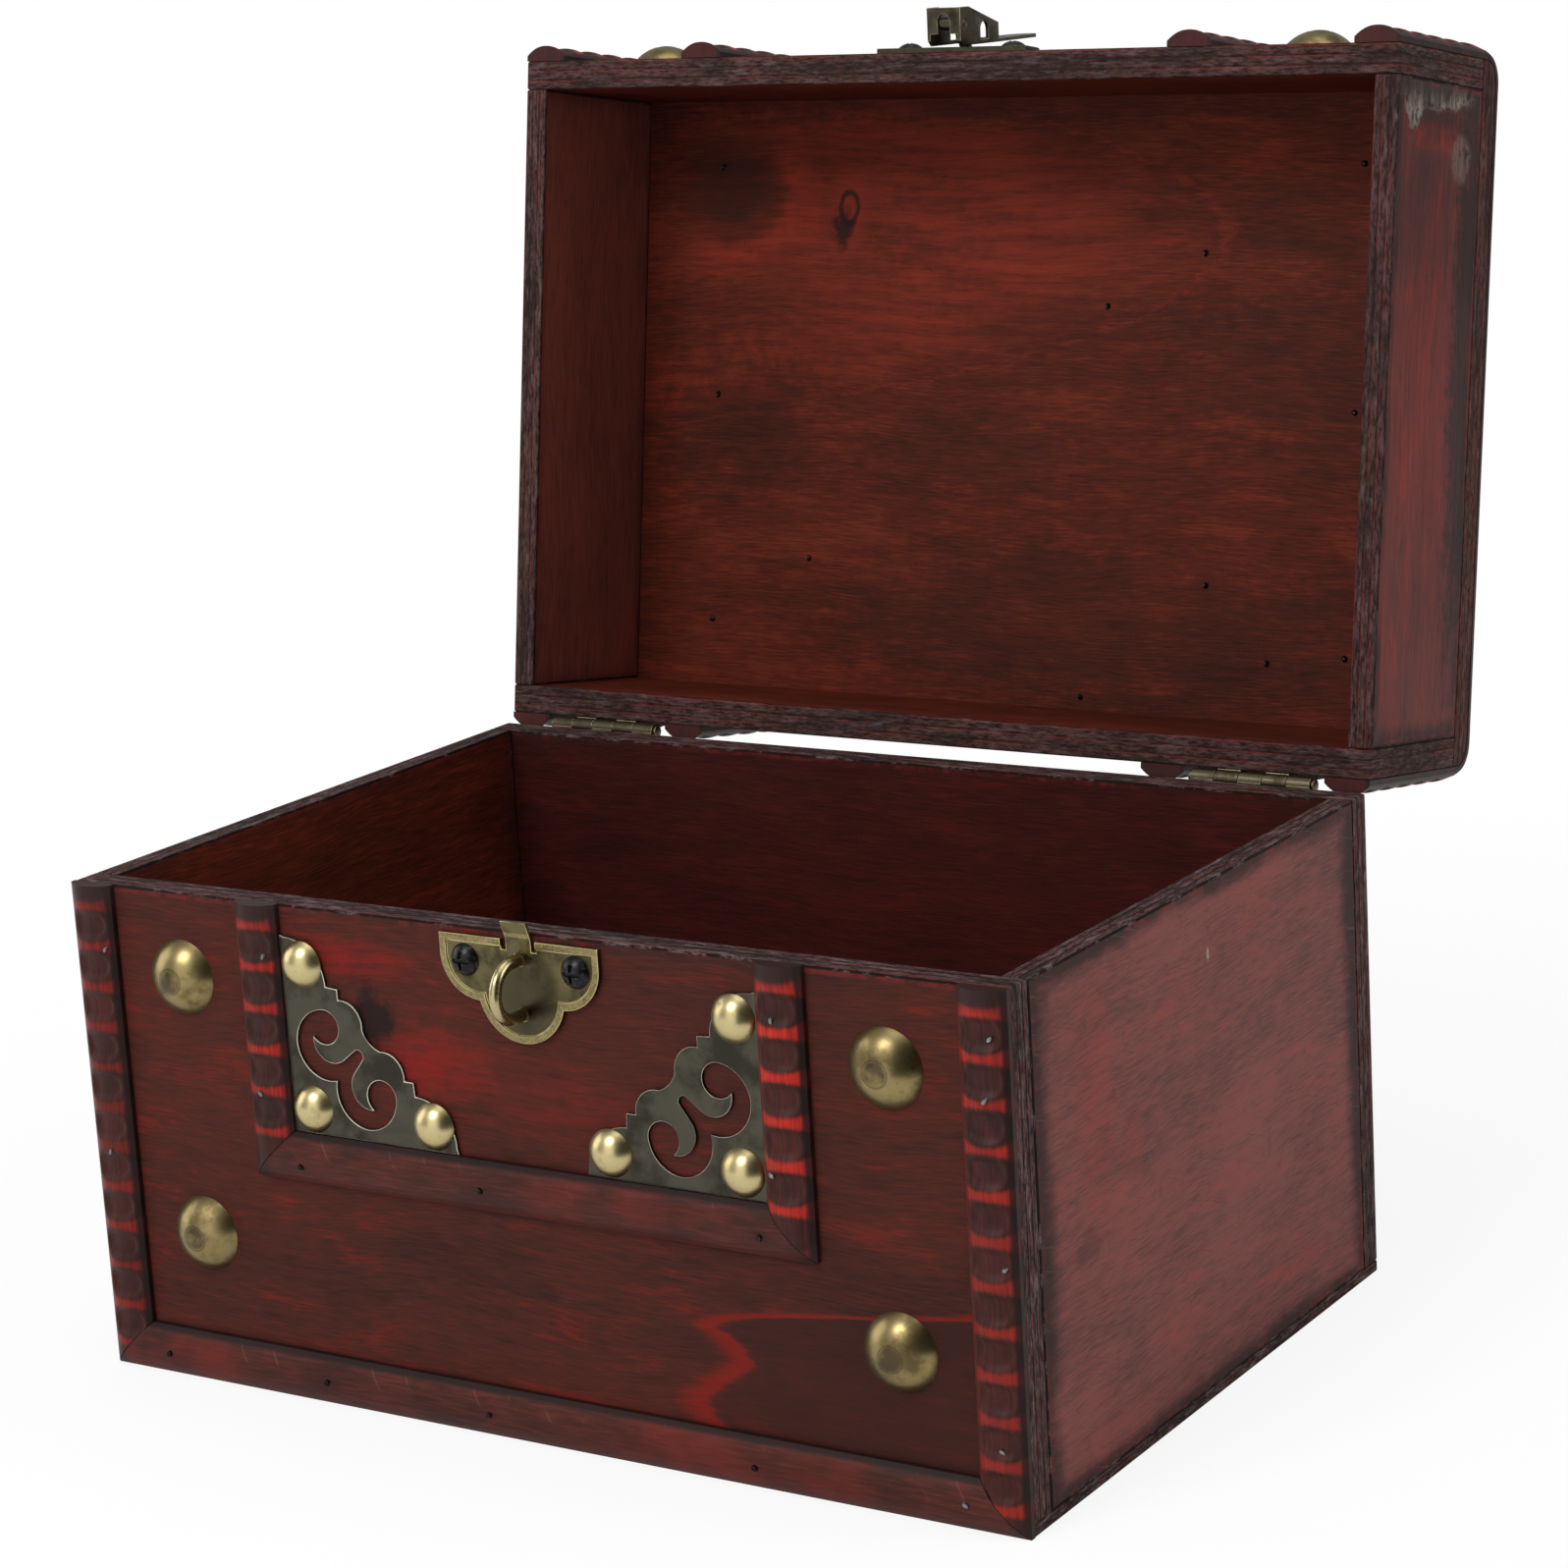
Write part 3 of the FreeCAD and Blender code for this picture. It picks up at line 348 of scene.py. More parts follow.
FRONT_MARKS = marks(
    (RED, -22.0, 75.0, 15.0, 7.0, 0.75),
    (RED, -40.0, 95.0, 13.0, 4.5, 0.75),
    (RED, 10.0, 71.0, 20.0, 8.0, 0.25),
    (DARK, -34.7, 84.0, 4.4, 5.4, 0.9),
    (FLAME, 44.0, 28.0, 20.0, 14.0, 0.65),
)
SIDE_MARKS = marks(
    (RED, -46.0, 74.0, 8.0, 24.0, 0.4),
    (RED, -33.0, 62.0, 5.0, 9.0, 0.35),
    (DARK, -51.0, 48.0, 5.0, 4.0, 0.3),
    (PALE, 1.5, 90.3, 0.5, 1.3, 1.0),
)
LID_MARKS = marks(
    # These two rows lighten and redden the upper part of the lid's inside.
    (ARCH, 50.0, -38.0, 34.0, 22.0, 0.5),
    (RED, -40.0, -38.0, 55.0, 24.0, 0.4),
    (DARK, 75.0, -8.0, 36.0, 18.0, 0.3),
    (DARK, -76.0, 6.0, 24.0, 20.0, 0.3),
    (DARK, 15.0, 50.0, 75.0, 18.0, 0.3),
    (DARK, -10.0, 12.0, 30.0, 9.0, 0.25),
    # Painted shade: a long dark band along the lid's front wall, on the inside, where that wall's shadow
    # falls.
    (DARK, 0.0, -71.0, 115.0, 7.0, 0.35),
    (EYE, -79.5, -48.0, 17.5, 15.0, 0.9),
    (RED, -59.5, -41.0, 6.5, 6.0, 0.75),
    (KNOT, -47.8, -44.5, 2.6, 4.0, 0.8),
    (DARK, -49.6, -39.5, 2.6, 5.0, 0.85),
    (RED, -90.0, -31.0, 11.0, 3.5, 0.3),
    (DARK, 14.0, -20.0, 40.0, 4.0, 0.25),
)
LID_SIDE_MARKS = marks(
    (RED, -4.0, 124.0, 34.0, 15.0, 0.4),
    (DARK, -40.0, 122.0, 13.0, 12.0, 0.35),
    (DARK, -66.0, 128.0, 7.5, 20.0, 0.6),
    (RED, -57.5, 126.0, 2.6, 13.0, 0.6),
    (DARK, -15.0, 147.0, 75.0, 9.0, 0.85),
    (PALE, -67.5, 113.5, 7.0, 4.6, 0.85),
    (PALE, -68.0, 128.0, 3.8, 15.0, 0.75),
    (PALE, -54.0, 139.0, 4.5, 4.5, 0.25),
)

FRONT_STAIN = Stain(
    deep=(0.030, 0.011, 0.0085), body=(0.062, 0.015, 0.0105), warm=(0.082, 0.0165, 0.011),
    red=(0.20, 0.011, 0.0075), redness=0.45, burnish=0.4, border=4.0, film_and_sheen=0.0, rough=0.46,
)
# Lighter than the front's stain: partly the side's own tone, partly painted light falling from the right.
SIDE_STAIN_WITH_PAINTED_LIGHT = Stain(
    deep=(0.076, 0.030, 0.026), body=(0.166, 0.049, 0.042), warm=(0.195, 0.052, 0.045),
    red=(0.26, 0.030, 0.025), redness=0.35, burnish=0.9, border=6.0, film_and_sheen=0.14, rough=0.44,
)
LID_SIDE_STAIN = Stain(
    deep=(0.040, 0.014, 0.012), body=(0.092, 0.019, 0.015), warm=(0.125, 0.021, 0.016),
    red=(0.21, 0.016, 0.012), redness=0.6, burnish=0.9, border=4.5, film_and_sheen=0.08, rough=0.44,
)
INSIDE_STAIN = Stain(
    deep=(0.026, 0.007, 0.0055), body=(0.046, 0.009, 0.007), warm=(0.062, 0.0105, 0.0075),
    red=(0.11, 0.010, 0.008), redness=0.3, burnish=0.2, border=3.0, film_and_sheen=0.0, rough=0.52,
)
LID_INSIDE_STAIN = Stain(
    deep=(0.040, 0.010, 0.006), body=(0.090, 0.016, 0.0085), warm=(0.135, 0.024, 0.011),
    red=(0.215, 0.026, 0.013), redness=0.3, burnish=0.3, border=4.0, film_and_sheen=0.0, rough=0.5,
)
# Painted light: a lighter copy of the inside stain for the lid's left inner wall, which lies in shade.
WALL_STAIN_WITH_PAINTED_LIGHT = Stain(
    deep=(0.105, 0.032, 0.024), body=(0.185, 0.048, 0.034), warm=(0.22, 0.055, 0.038),
    red=(0.30, 0.040, 0.028), redness=0.3, burnish=0.3, border=4.0, film_and_sheen=0.0, rough=0.52,
)

DEEP_BLACK = (0.012, 0.008, 0.0075)
SCRATCHED_DARK = (0.022, 0.013, 0.012)
SCRATCHED_PALE = (0.085, 0.058, 0.055)
GREY_HAZE_AND_SHEEN = (0.19, 0.10, 0.095)
EYE_BROWN = (0.022, 0.010, 0.007)
OLD_GLUE_GREY = (0.16, 0.135, 0.12)
OLD_GLUE_PALE = (0.30, 0.26, 0.21)
ARRIS_RED = (0.17, 0.020, 0.016)
SAWN_DARK = (0.016, 0.008, 0.007)
PLY_RED = (0.18, 0.020, 0.015)
GLUE_LINE = (0.008, 0.005, 0.005)
SOOT = (0.014, 0.009, 0.009)
DUST = (0.18, 0.13, 0.133)


@dataclass(frozen=True)
class Veneer:
    """The patterns of one panel and the places on it, as terms of its shader."""

    shader: Shader
    along: Term
    across: Term
    depth: Term
    share: Term
    wander: Term
    streak: Term
    cloud: Term
    grit: Term
    tone: Term
    patch: Term
    scratch: Term
    verge: Term

    def coat(self, stain: Stain, figures: tuple[Figure, ...]) -> tuple[Term, Term]:
        """Lays one coat of stain on the veneer.

        Args:
            stain: The coat.
            figures: The marks that show through it.

        Returns:
            The coat's colour and its roughness.
        """
        mix, smooth = self.shader.mix, self.shader.smooth
        streak, grit, cloud = self.streak - 0.5, self.grit - 0.5, self.cloud - 0.5
        colour = mix(smooth(self.tone, 0.42, 0.60), stain.deep, stain.body)
        colour = mix(smooth(self.tone, 0.55, 0.68), colour, stain.warm)
        colour = mix(smooth(self.patch, 0.54, 0.85) * stain.redness, colour, stain.red)
        for figure in figures:
            colour = self.mark(figure, colour, stain)
        # A patchy grey film: part haze, part painted sheen.
        film_and_sheen = smooth(self.cloud + streak * 0.3, 0.42, 0.7) * stain.film_and_sheen
        colour = mix(film_and_sheen, colour, GREY_HAZE_AND_SHEEN)
        border = stain.border * MM
        ragged = self.verge + cloud * border * 2.4 + streak * border * 0.7 + grit * border * 0.8
        rim = smooth(ragged, border * 1.4, border * 0.2)
        dark = mix(self.scratch * 0.6, SCRATCHED_DARK, SCRATCHED_PALE)
        for worn in (self.scratch, smooth(self.grit, 0.56, 0.7)):
            colour = mix(worn * stain.film_and_sheen * 3.0, colour, stain.deep)
        colour = mix(rim * stain.burnish, colour, dark)
        return colour, self.cloud * 0.16 + rim * 0.08 + (stain.rough - 0.08)

    def mark(self, figure: Figure, colour: Term, stain: Stain) -> Term:
        """Adds a mark to a coat.

        Args:
            figure: The mark.
            colour: The coat's colour.
            stain: The coat.

        Returns:
            The coat's colour with the mark.
        """
        mix, smooth = self.shader.mix, self.shader.smooth
        kind, strength = figure.kind, figure.strength
        u = (self.along - figure.along * MM) / (figure.reach * MM)
        v = (self.across - figure.across * MM) / (figure.spread * MM)
        rag, grit = (self.streak - 0.5) * 0.8, self.grit - 0.5
        grain = smooth(self.streak * 0.6 + self.grit * 0.4, 0.4, 0.62) * 0.75 + 0.25
        if kind is FLAME:
            bend = smooth(v, 0.15, 1.05) * 3.0 - self.shader.math("SINE", v * 4.2 - 0.63) * 0.28
            gap = u - bend + self.wander * 0.5 + rag * 0.5
            colour = mix(smooth(gap, 0.0, 0.25) * strength, colour, stain.deep)
            line = smooth(gap, -0.4, -0.05) * smooth(gap, 0.12, 0.0) * smooth(v, 1.5, 1.0)
            return mix(line * strength, colour, stain.red)
        if kind is ARCH:
            bow = u + v * v + self.wander * 0.7 + grit * 0.4 + rag * 0.4
            core = smooth(bow, 0.05, -1.1) * smooth(bow, -3.4, -1.2) * grain
            colour = mix(core * strength, colour, stain.red)
            line = smooth(abs(bow - 0.03), 0.06, 0.01) * smooth(self.streak, 0.35, 0.6)
            return mix(line * strength * 0.7, colour, stain.red)
        far = self.shader.math("SQRT", u * u + v * v) + self.wander * 0.9 + rag * 0.35
        if kind is EYE:
            side = smooth(u + v * 0.9, -0.5, 0.7)
            ring = smooth(far, 0.75, 1.0) * smooth(far, 1.55, 1.05) * side
            shade = smooth(far + grit * 0.6, 1.1, 0.25) * 0.75
            colour = mix(shade * strength, colour, EYE_BROWN)
            return mix(ring * grain * strength, colour, stain.red)
        if kind is KNOT:
            colour = mix(smooth(far, 3.0, 0.9) * 0.5, colour, stain.red)
            ring = smooth(far, 1.25, 0.95) * smooth(far, 0.55, 0.85)
            return mix(ring * strength, colour, DEEP_BLACK)
        ragged = far + grit * 2.2 + rag * 0.5
        if kind is PALE:
            flake = smooth(ragged, 1.15, 0.8) * smooth(self.grit, 0.34, 0.52)
            tint = mix(smooth(self.streak, 0.4, 0.6), OLD_GLUE_GREY, OLD_GLUE_PALE)
            return mix(flake * strength, colour, tint)
        share = smooth(ragged, 1.3, 0.5) * strength
        if kind is DARK:
            return mix(share, colour, DEEP_BLACK)
        return mix(share * grain, colour, stain.red)

    def cut_edge(self, edge: CutEdge) -> Term:
        """Colours the cut edge: grey-brown plies with dark glue lines and streaks of dust.

        Args:
            edge: How the edge has aged.

        Returns:
            The cut edge's colour.
        """
        mix, smooth, stretched = self.shader.mix, self.shader.smooth, self.shader.stretched
        along, across, depth = self.along, self.across, self.depth
        saw = stretched(along * 420, across * 420, depth * 1700, 4.0, 0.75)
        dust = stretched(along * 150, across * 150, depth * 900, 5.0, 0.8)
        soot = stretched(along * 28, across * 28, depth * 160, 4.0, 0.65)
        colour = mix(smooth(saw, 0.36, 0.64), SAWN_DARK, edge.tone)
        ply = self.shader.math("FRACT", self.share * edge.plies + 0.5) - 0.5 + (saw - 0.5) * 0.12
        red = smooth(abs(ply - 0.16), 0.09, 0.02) * smooth(soot, 0.6, 0.45)
        colour = mix(red * 0.6, colour, PLY_RED)
        line = smooth(abs(ply), 0.17, 0.06)
        colour = mix(line * edge.glue, colour, GLUE_LINE)
        colour = mix(smooth(soot, 0.46, 0.62) * 0.6, colour, SOOT)
        return mix(smooth(dust, 0.5, 0.66) * edge.dust, colour, DUST)


@dataclass(frozen=True)
class CutEdge:
    """How a panel's cut edge has aged: its tone, its grey dust and its dark glue lines."""

    tone: Colour
    dust: float
    glue: float
    plies: float = 3.0


BASE_EDGE = CutEdge((0.085, 0.050, 0.047), 0.6, 0.95)
LID_EDGE = CutEdge((0.085, 0.040, 0.034), 0.3, 0.6)


@dataclass(frozen=True)
class PlyFinish:
    """Stained plywood: streaked veneer, burnished borders and dusty cut edges."""

    panel: PlyPanel
    low: Vector
    high: Vector
    edge: CutEdge

    def make(self) -> Material:
        """Writes the material.

        Returns:
            The finished material.
        """
        panel = self.panel
        shader = Shader(f"{panel.node}_stain")
        mix, smooth = shader.mix, shader.smooth
        place = shader.place(panel.body is Body.LID)
        spots = shader.parts(place)
        run, thick = panel.grain.value, panel.face.value
        wide = 3 - run - thick
        along, across, depth = spots[run], spots[wide], spots[thick]
        share = (depth - self.low[thick]) / (self.high[thick] - self.low[thick])
        inside = smooth(share, *((0.65, 0.35) if panel.inner_at_low else (0.35, 0.65)))
        wander = shader.noise(place, 11.0, 2.0) - 0.5
        bent = across + wander * 0.010
        fibre = shader.stretched(along * 170, bent * 2300, depth * 1500, 3.0, 0.65)
        streak = shader.stretched(along * 42, bent * 460, depth * 200, 4.0, 0.68)
        mottle = shader.stretched(along * 46, across * 115, depth * 60, 4.0, 0.62)
        band = shader.stretched(along * 5, (across + wander * 0.05) * 44, depth * 20, 2.0, 0.5)
        cloud = shader.noise(place, 20.0, 4.0, 0.6)
        grit = shader.noise(place, 260.0, 5.0, 0.7)
        tone = fibre * 0.4 + streak * 0.2 + mottle * 0.2 + band * 0.18 + cloud * 0.12
        edge_across = shader.math("MINIMUM", across - self.low[wide], self.high[wide] - across)
        edge_along = shader.math("MINIMUM", along - self.low[run], self.high[run] - along)
        edge = shader.math("MINIMUM", edge_across, edge_along)
        verge = shader.math("MINIMUM", edge_across * 1.7, edge_along)
        patch = mottle + (streak - 0.5) * 0.6 + (fibre - 0.5) * 0.5
        slant = shader.stretched(along * 70, (across + along * 0.35) * 1700, depth * 50)
        scratch = smooth(slant, 0.6, 0.72)
        veneer = Veneer(
            shader, along, across, depth, share, wander, streak, cloud, grit, tone, patch, scratch, verge
        )
        outer, outer_rough = veneer.coat(panel.outer, panel.outer_figures)
        inner, inner_rough = veneer.coat(panel.inner, panel.inner_figures)
        cut = smooth(edge, 0.0008, 0.0004)
        arris = smooth(edge, 0.0019, 0.0011) * smooth(grit * 0.5 + cloud * 0.5, 0.46, 0.58)
        colour = mix(arris * 0.5, mix(inside, outer, inner), ARRIS_RED)
        colour = mix(cut, colour, veneer.cut_edge(self.edge))
        rough = (outer_rough * (1 - inside) + inner_rough * inside) * (1 - cut) + cut * 0.75
        shader.relief(fibre * 0.7 + streak * 0.5, 0.3, 0.0004)
        return shader.finish(Base_Color=colour, Roughness=rough, Specular_IOR_Level=0.06)


HOLLOW_DARK = (0.024, 0.0085, 0.0067)
HOLLOW_RED = (0.066, 0.0135, 0.010)
LAND_RED = (0.25, 0.013, 0.009)
LAND_PAINTED_HIGHLIGHT = (0.50, 0.022, 0.013)
LAND_DULL = (0.10, 0.014, 0.010)
SILL_DARK = (0.034, 0.011, 0.008)
SILL_RED = (0.095, 0.020, 0.014)
SILL_WORN = (0.16, 0.018, 0.012)
SILL_NICK = (0.17, 0.07, 0.055)
PAINTED_FLANK_SHADE = (0.012, 0.007, 0.006)
NEAR_FLANK = (0.075, 0.016, 0.012)
MOULDING_TIP = (0.022, 0.012, 0.011)
SCUFF = (0.13, 0.085, 0.075)


@dataclass(frozen=True)
class MouldingFinish:
    """Stained moulding: bright rubbed lands with painted highlight between dark pressed hollows, and painted
    shade on one flank.
    """

    name: str
    lid: bool
    pressed: bool
    wear: float = 1.0

    def make(self) -> Material:
        """Writes the material.

        Returns:
            The finished material.
        """
        shader = Shader(self.name)
        mix, smooth = shader.mix, shader.smooth
        place = shader.place(self.lid)
        travel, side, end = shader.attribute("travel"), shader.attribute("side"), shader.attribute("end")
        cloud = shader.noise(place, 55.0, 4.0, 0.6)
        wide_cloud = shader.noise(place, 14.0, 2.0)
        fibre = shader.stretched(travel * 130, side * 9, cloud * 2, 4.0, 0.65)
        speck = shader.noise(place, 800.0, 3.0, 0.65)
        tone = fibre * 0.6 + cloud * 0.4
        if self.pressed:
            waist = abs(side) ** 3.0 * 0.26
            drift = (fibre - 0.5) * 0.12 + (cloud - 0.5) * 0.3
            land = smooth(shader.attribute("phase") + waist + drift, 0.68, 0.95)
            colour = mix(smooth(tone, 0.38, 0.66), HOLLOW_DARK, HOLLOW_RED)
            # The lands run from rubbed red up to a brighter red that is painted highlight.
            rubbed = mix(smooth(tone, 0.38, 0.62), LAND_RED, LAND_PAINTED_HIGHLIGHT)
            rubbed = mix(smooth(wide_cloud, 0.5, 0.66) * 0.65, rubbed, LAND_DULL)
            colour = mix(land * self.wear, colour, rubbed)
        else:
            colour = mix(smooth(tone, 0.38, 0.66), SILL_DARK, SILL_RED)
            worn = smooth(shader.noise(place, 32.0, 3.0, 0.6), 0.5, 0.72)
            colour = mix(worn * 0.5, colour, SILL_WORN)
            zig = shader.math("PINGPONG", travel + side * 0.004, 0.0085) / 0.0085
            nick = smooth(abs(zig - 0.5), 0.05, 0.01) * smooth(side, -0.1, 0.3)
            colour = mix(nick * smooth(cloud, 0.48, 0.6) * 0.35, colour, SILL_NICK)
        # Painted shade: one flank of every moulding is darkened nearly to black, as if turned away from the
        # light.
        flank = smooth(side + (cloud - 0.5) * 0.14, 0.72, 0.88)
        colour = mix(flank * 0.9, colour, PAINTED_FLANK_SHADE)
        near = smooth(side - (cloud - 0.5) * 0.14, -0.74, -0.9)
        colour = mix(near * 0.8, colour, NEAR_FLANK)
        tip = smooth(end + (cloud - 0.5) * 0.004, 0.0055, 0.002)
        colour = mix(tip * 0.8, colour, MOULDING_TIP)
        scuff = smooth(speck, 0.66, 0.8)
        colour = mix(scuff * 0.22, colour, SCUFF)
        shader.relief(fibre * 0.5 + speck * 0.5, 0.14, 0.0003)
        return shader.finish(Base_Color=colour, Roughness=cloud * 0.2 + 0.34, Specular_IOR_Level=0.12)


BROWN_BLOT = (0.035, 0.026, 0.016)
# Painted shade round the staple's foot, on the staple and on the keeper.
STAPLE_FOOT_SHADE = (0.042, 0.034, 0.024)
PRESS_DISC = (0.085, 0.062, 0.034)
PRESS_LIP = (0.055, 0.041, 0.022)


@dataclass(frozen=True)
class BrassFinish:
    """Plated brass under a brown-green tarnish, with its edges rubbed bright and, where asked, a painted
    shade pooled round a given point.
    """

    name: str
    bright: Colour
    tarnish: Colour
    rubbed: Colour
    cover: float
    gloss: float
    grain: float
    mark: float = 0.0
    shade_pool: tuple[float, float, float, float] = (0.0, 0.0, 0.0, 0.0)
    raised: float = 0.0

    def make(self) -> Material:
        """Writes the material.

        Returns:
            The finished material.
        """
        shader = Shader(self.name)
        mix, smooth = shader.mix, shader.smooth
        place = shader.place(False)
        cloud = shader.noise(place, self.grain, 5.0, 0.62)
        blot = smooth(shader.noise(place, self.grain * 2.6, 4.0, 0.65), 0.6, 0.72)
        fine = shader.noise(place, 2600.0, 2.0, 0.6)
        share = smooth(cloud, 0.75 - self.cover * 0.5, 0.95 - self.cover * 0.5)
        colour = mix(share, self.bright, self.tarnish)
        colour = mix(blot * 0.6 * self.cover, colour, BROWN_BLOT)
        # Painted shade: darkens the metal round the given point, where the staple's foot meets the keeper.
        if self.shade_pool[3]:
            x, y, z = (axis - middle * MM for axis, middle in zip(shader.parts(place), self.shade_pool))
            far = shader.math("SQRT", x * x + y * y + z * z)
            dim = smooth(far / (self.shade_pool[3] * MM) + (cloud - 0.5) * 0.9, 1.2, 0.35)
            colour = mix(dim * 0.75, colour, STAPLE_FOOT_SHADE)
        if self.mark:
            out = shader.attribute("out") + (fine - 0.5) * 0.03
            disc = smooth(out, self.mark * 1.05, self.mark * 0.92)
            lip = smooth(abs(out / self.mark - 1.12), 0.16, 0.04)
            colour = mix(disc * smooth(cloud, 0.25, 0.55), colour, PRESS_DISC)
            colour = mix(lip * 0.55, colour, PRESS_LIP)
        if self.raised:
            level = shader.parts(place)[1] / MM + (fine - 0.5) * 0.05
            proud = smooth(level, self.raised + 0.06, self.raised - 0.02)
            proud = proud * smooth(level, self.raised - 0.4, self.raised - 0.3)
            colour = mix(proud * (smooth(fine, 0.3, 0.7) * 0.3 + 0.1), colour, self.rubbed)
        rub = shader.attribute("rub") * smooth(cloud, 0.3, 0.55)
        colour = mix(rub, colour, self.rubbed)
        shader.relief(fine * 0.4 + cloud * 0.6, 0.06, 0.0003)
        rough = share * 0.12 + fine * 0.1 + (self.gloss - 0.05)
        return shader.finish(Base_Color=colour, Roughness=rough, Metallic=1.0)


@dataclass(frozen=True)
class DarkSteelFinish:
    """Dark steel of screws and brads, rubbed grey in places."""

    name: str
    body: Colour
    rubbed: Colour

    def make(self) -> Material:
        """Writes the material.

        Returns:
            The finished material.
        """
        shader = Shader(self.name)
        mix, smooth = shader.mix, shader.smooth
        place = shader.place(False)
        worn = smooth(shader.noise(place, 900.0, 4.0, 0.65), 0.5, 0.72)
        colour = mix(worn, self.body, self.rubbed)
        shader.relief(worn, 0.1, 0.0001)
        return shader.finish(Base_Color=colour, Roughness=worn * 0.2 + 0.32, Metallic=0.9)


class Grown(Tree):
    """A Geometry Nodes tree with named inputs that grows a guide into one plain mesh."""

    def __init__(self, name: str, way: str, *sizes: str) -> None:
        """Starts a tree.

        Args:
            name: The tree's name.
            way: The name of the input that says which way the pieces lie.
            sizes: The names of the inputs for sizes.
        """
        super().__init__(bpy.data.node_groups.new(name, "GeometryNodeTree"))
        self.sockets: dict[str, str] = {}
        self.take("Guide", "NodeSocketGeometry")
        self.tree.interface.new_socket("Mesh", in_out="OUTPUT", socket_type="NodeSocketGeometry")
        self.entry = self.tree.nodes.new("NodeGroupInput")
        self.take("Finish", "NodeSocketMaterial")
        self.take(way, "NodeSocketVector")
        for size in sizes:
            self.take(size)

    def take(self, name: str, kind: str = "NodeSocketFloat") -> None:
        """Adds a named input."""
        self.sockets[name] = self.tree.interface.new_socket(name, in_out="INPUT", socket_type=kind).identifier

    def read(self, name: str) -> Term:
        """Reads a named input inside the tree."""
        return Term(self, self.entry.outputs[name])

    def store(self, geometry: Term, name: str, value: Term, kind: str = "FLOAT") -> Term:
        """Keeps a value on the points of a geometry."""
        values = {"Geometry": geometry, "Name": name, "Value": value}
        return self.term("GeometryNodeStoreNamedAttribute", values, data_type=kind, domain="POINT")

    def recall(self, name: str, kind: str = "FLOAT") -> Term:
        """Reads a value kept on the points."""
        return self.term("GeometryNodeInputNamedAttribute", {"Name": name}, data_type=kind)

    def scatter(self, instance: Term, turn: Term, size: Feed = (1.0, 1.0, 1.0)) -> None:
        """Sets an instance on each of the guide's points and ends the tree.

        Args:
            instance: What is set on each point.
            turn: Its turn.
            size: Its size along each axis.
        """
        points = self.term("GeometryNodeMeshToPoints", {"Mesh": self.read("Guide")})
        placed = {"Points": points, "Instance": instance, "Rotation": turn, "Scale": size}
        self.close(self.term("GeometryNodeInstanceOnPoints", placed))

    def turned(self, angles: Term) -> Term:
        """Makes a turn of three angles."""
        return self.term("FunctionNodeEulerToRotation", {0: angles})

    def close(self, geometry: Term) -> None:
        """Ends the tree in one realized mesh with its finish.

        Args:
            geometry: What the tree has made.
        """
        real = self.term("GeometryNodeRealizeInstances", {"Geometry": geometry})
        dressed = self.term("GeometryNodeSetMaterial", {"Geometry": real, "Material": self.read("Finish")})
        self.node("NodeGroupOutput", {0: dressed})

    def grow(self, guide: ID, values: dict[str, Any]) -> Mesh:
        """Grows a guide.

        Args:
            guide: The curve or the mesh of points that the tree follows.
            values: The named inputs.

        Returns:
            The result as a plain mesh.
        """
        holder = bpy.data.objects.new("guide", guide)
        bpy.context.scene.collection.objects.link(holder)
        modifier = holder.modifiers.new("grown", "NODES")
        modifier.node_group = self.tree
        for name, value in values.items():
            modifier[self.sockets[name]] = value
        graph = bpy.context.evaluated_depsgraph_get()
        mesh = bpy.data.meshes.new_from_object(holder.evaluated_get(graph))
        holder.modifiers.remove(modifier)
        bpy.data.objects.remove(holder)
        return mesh


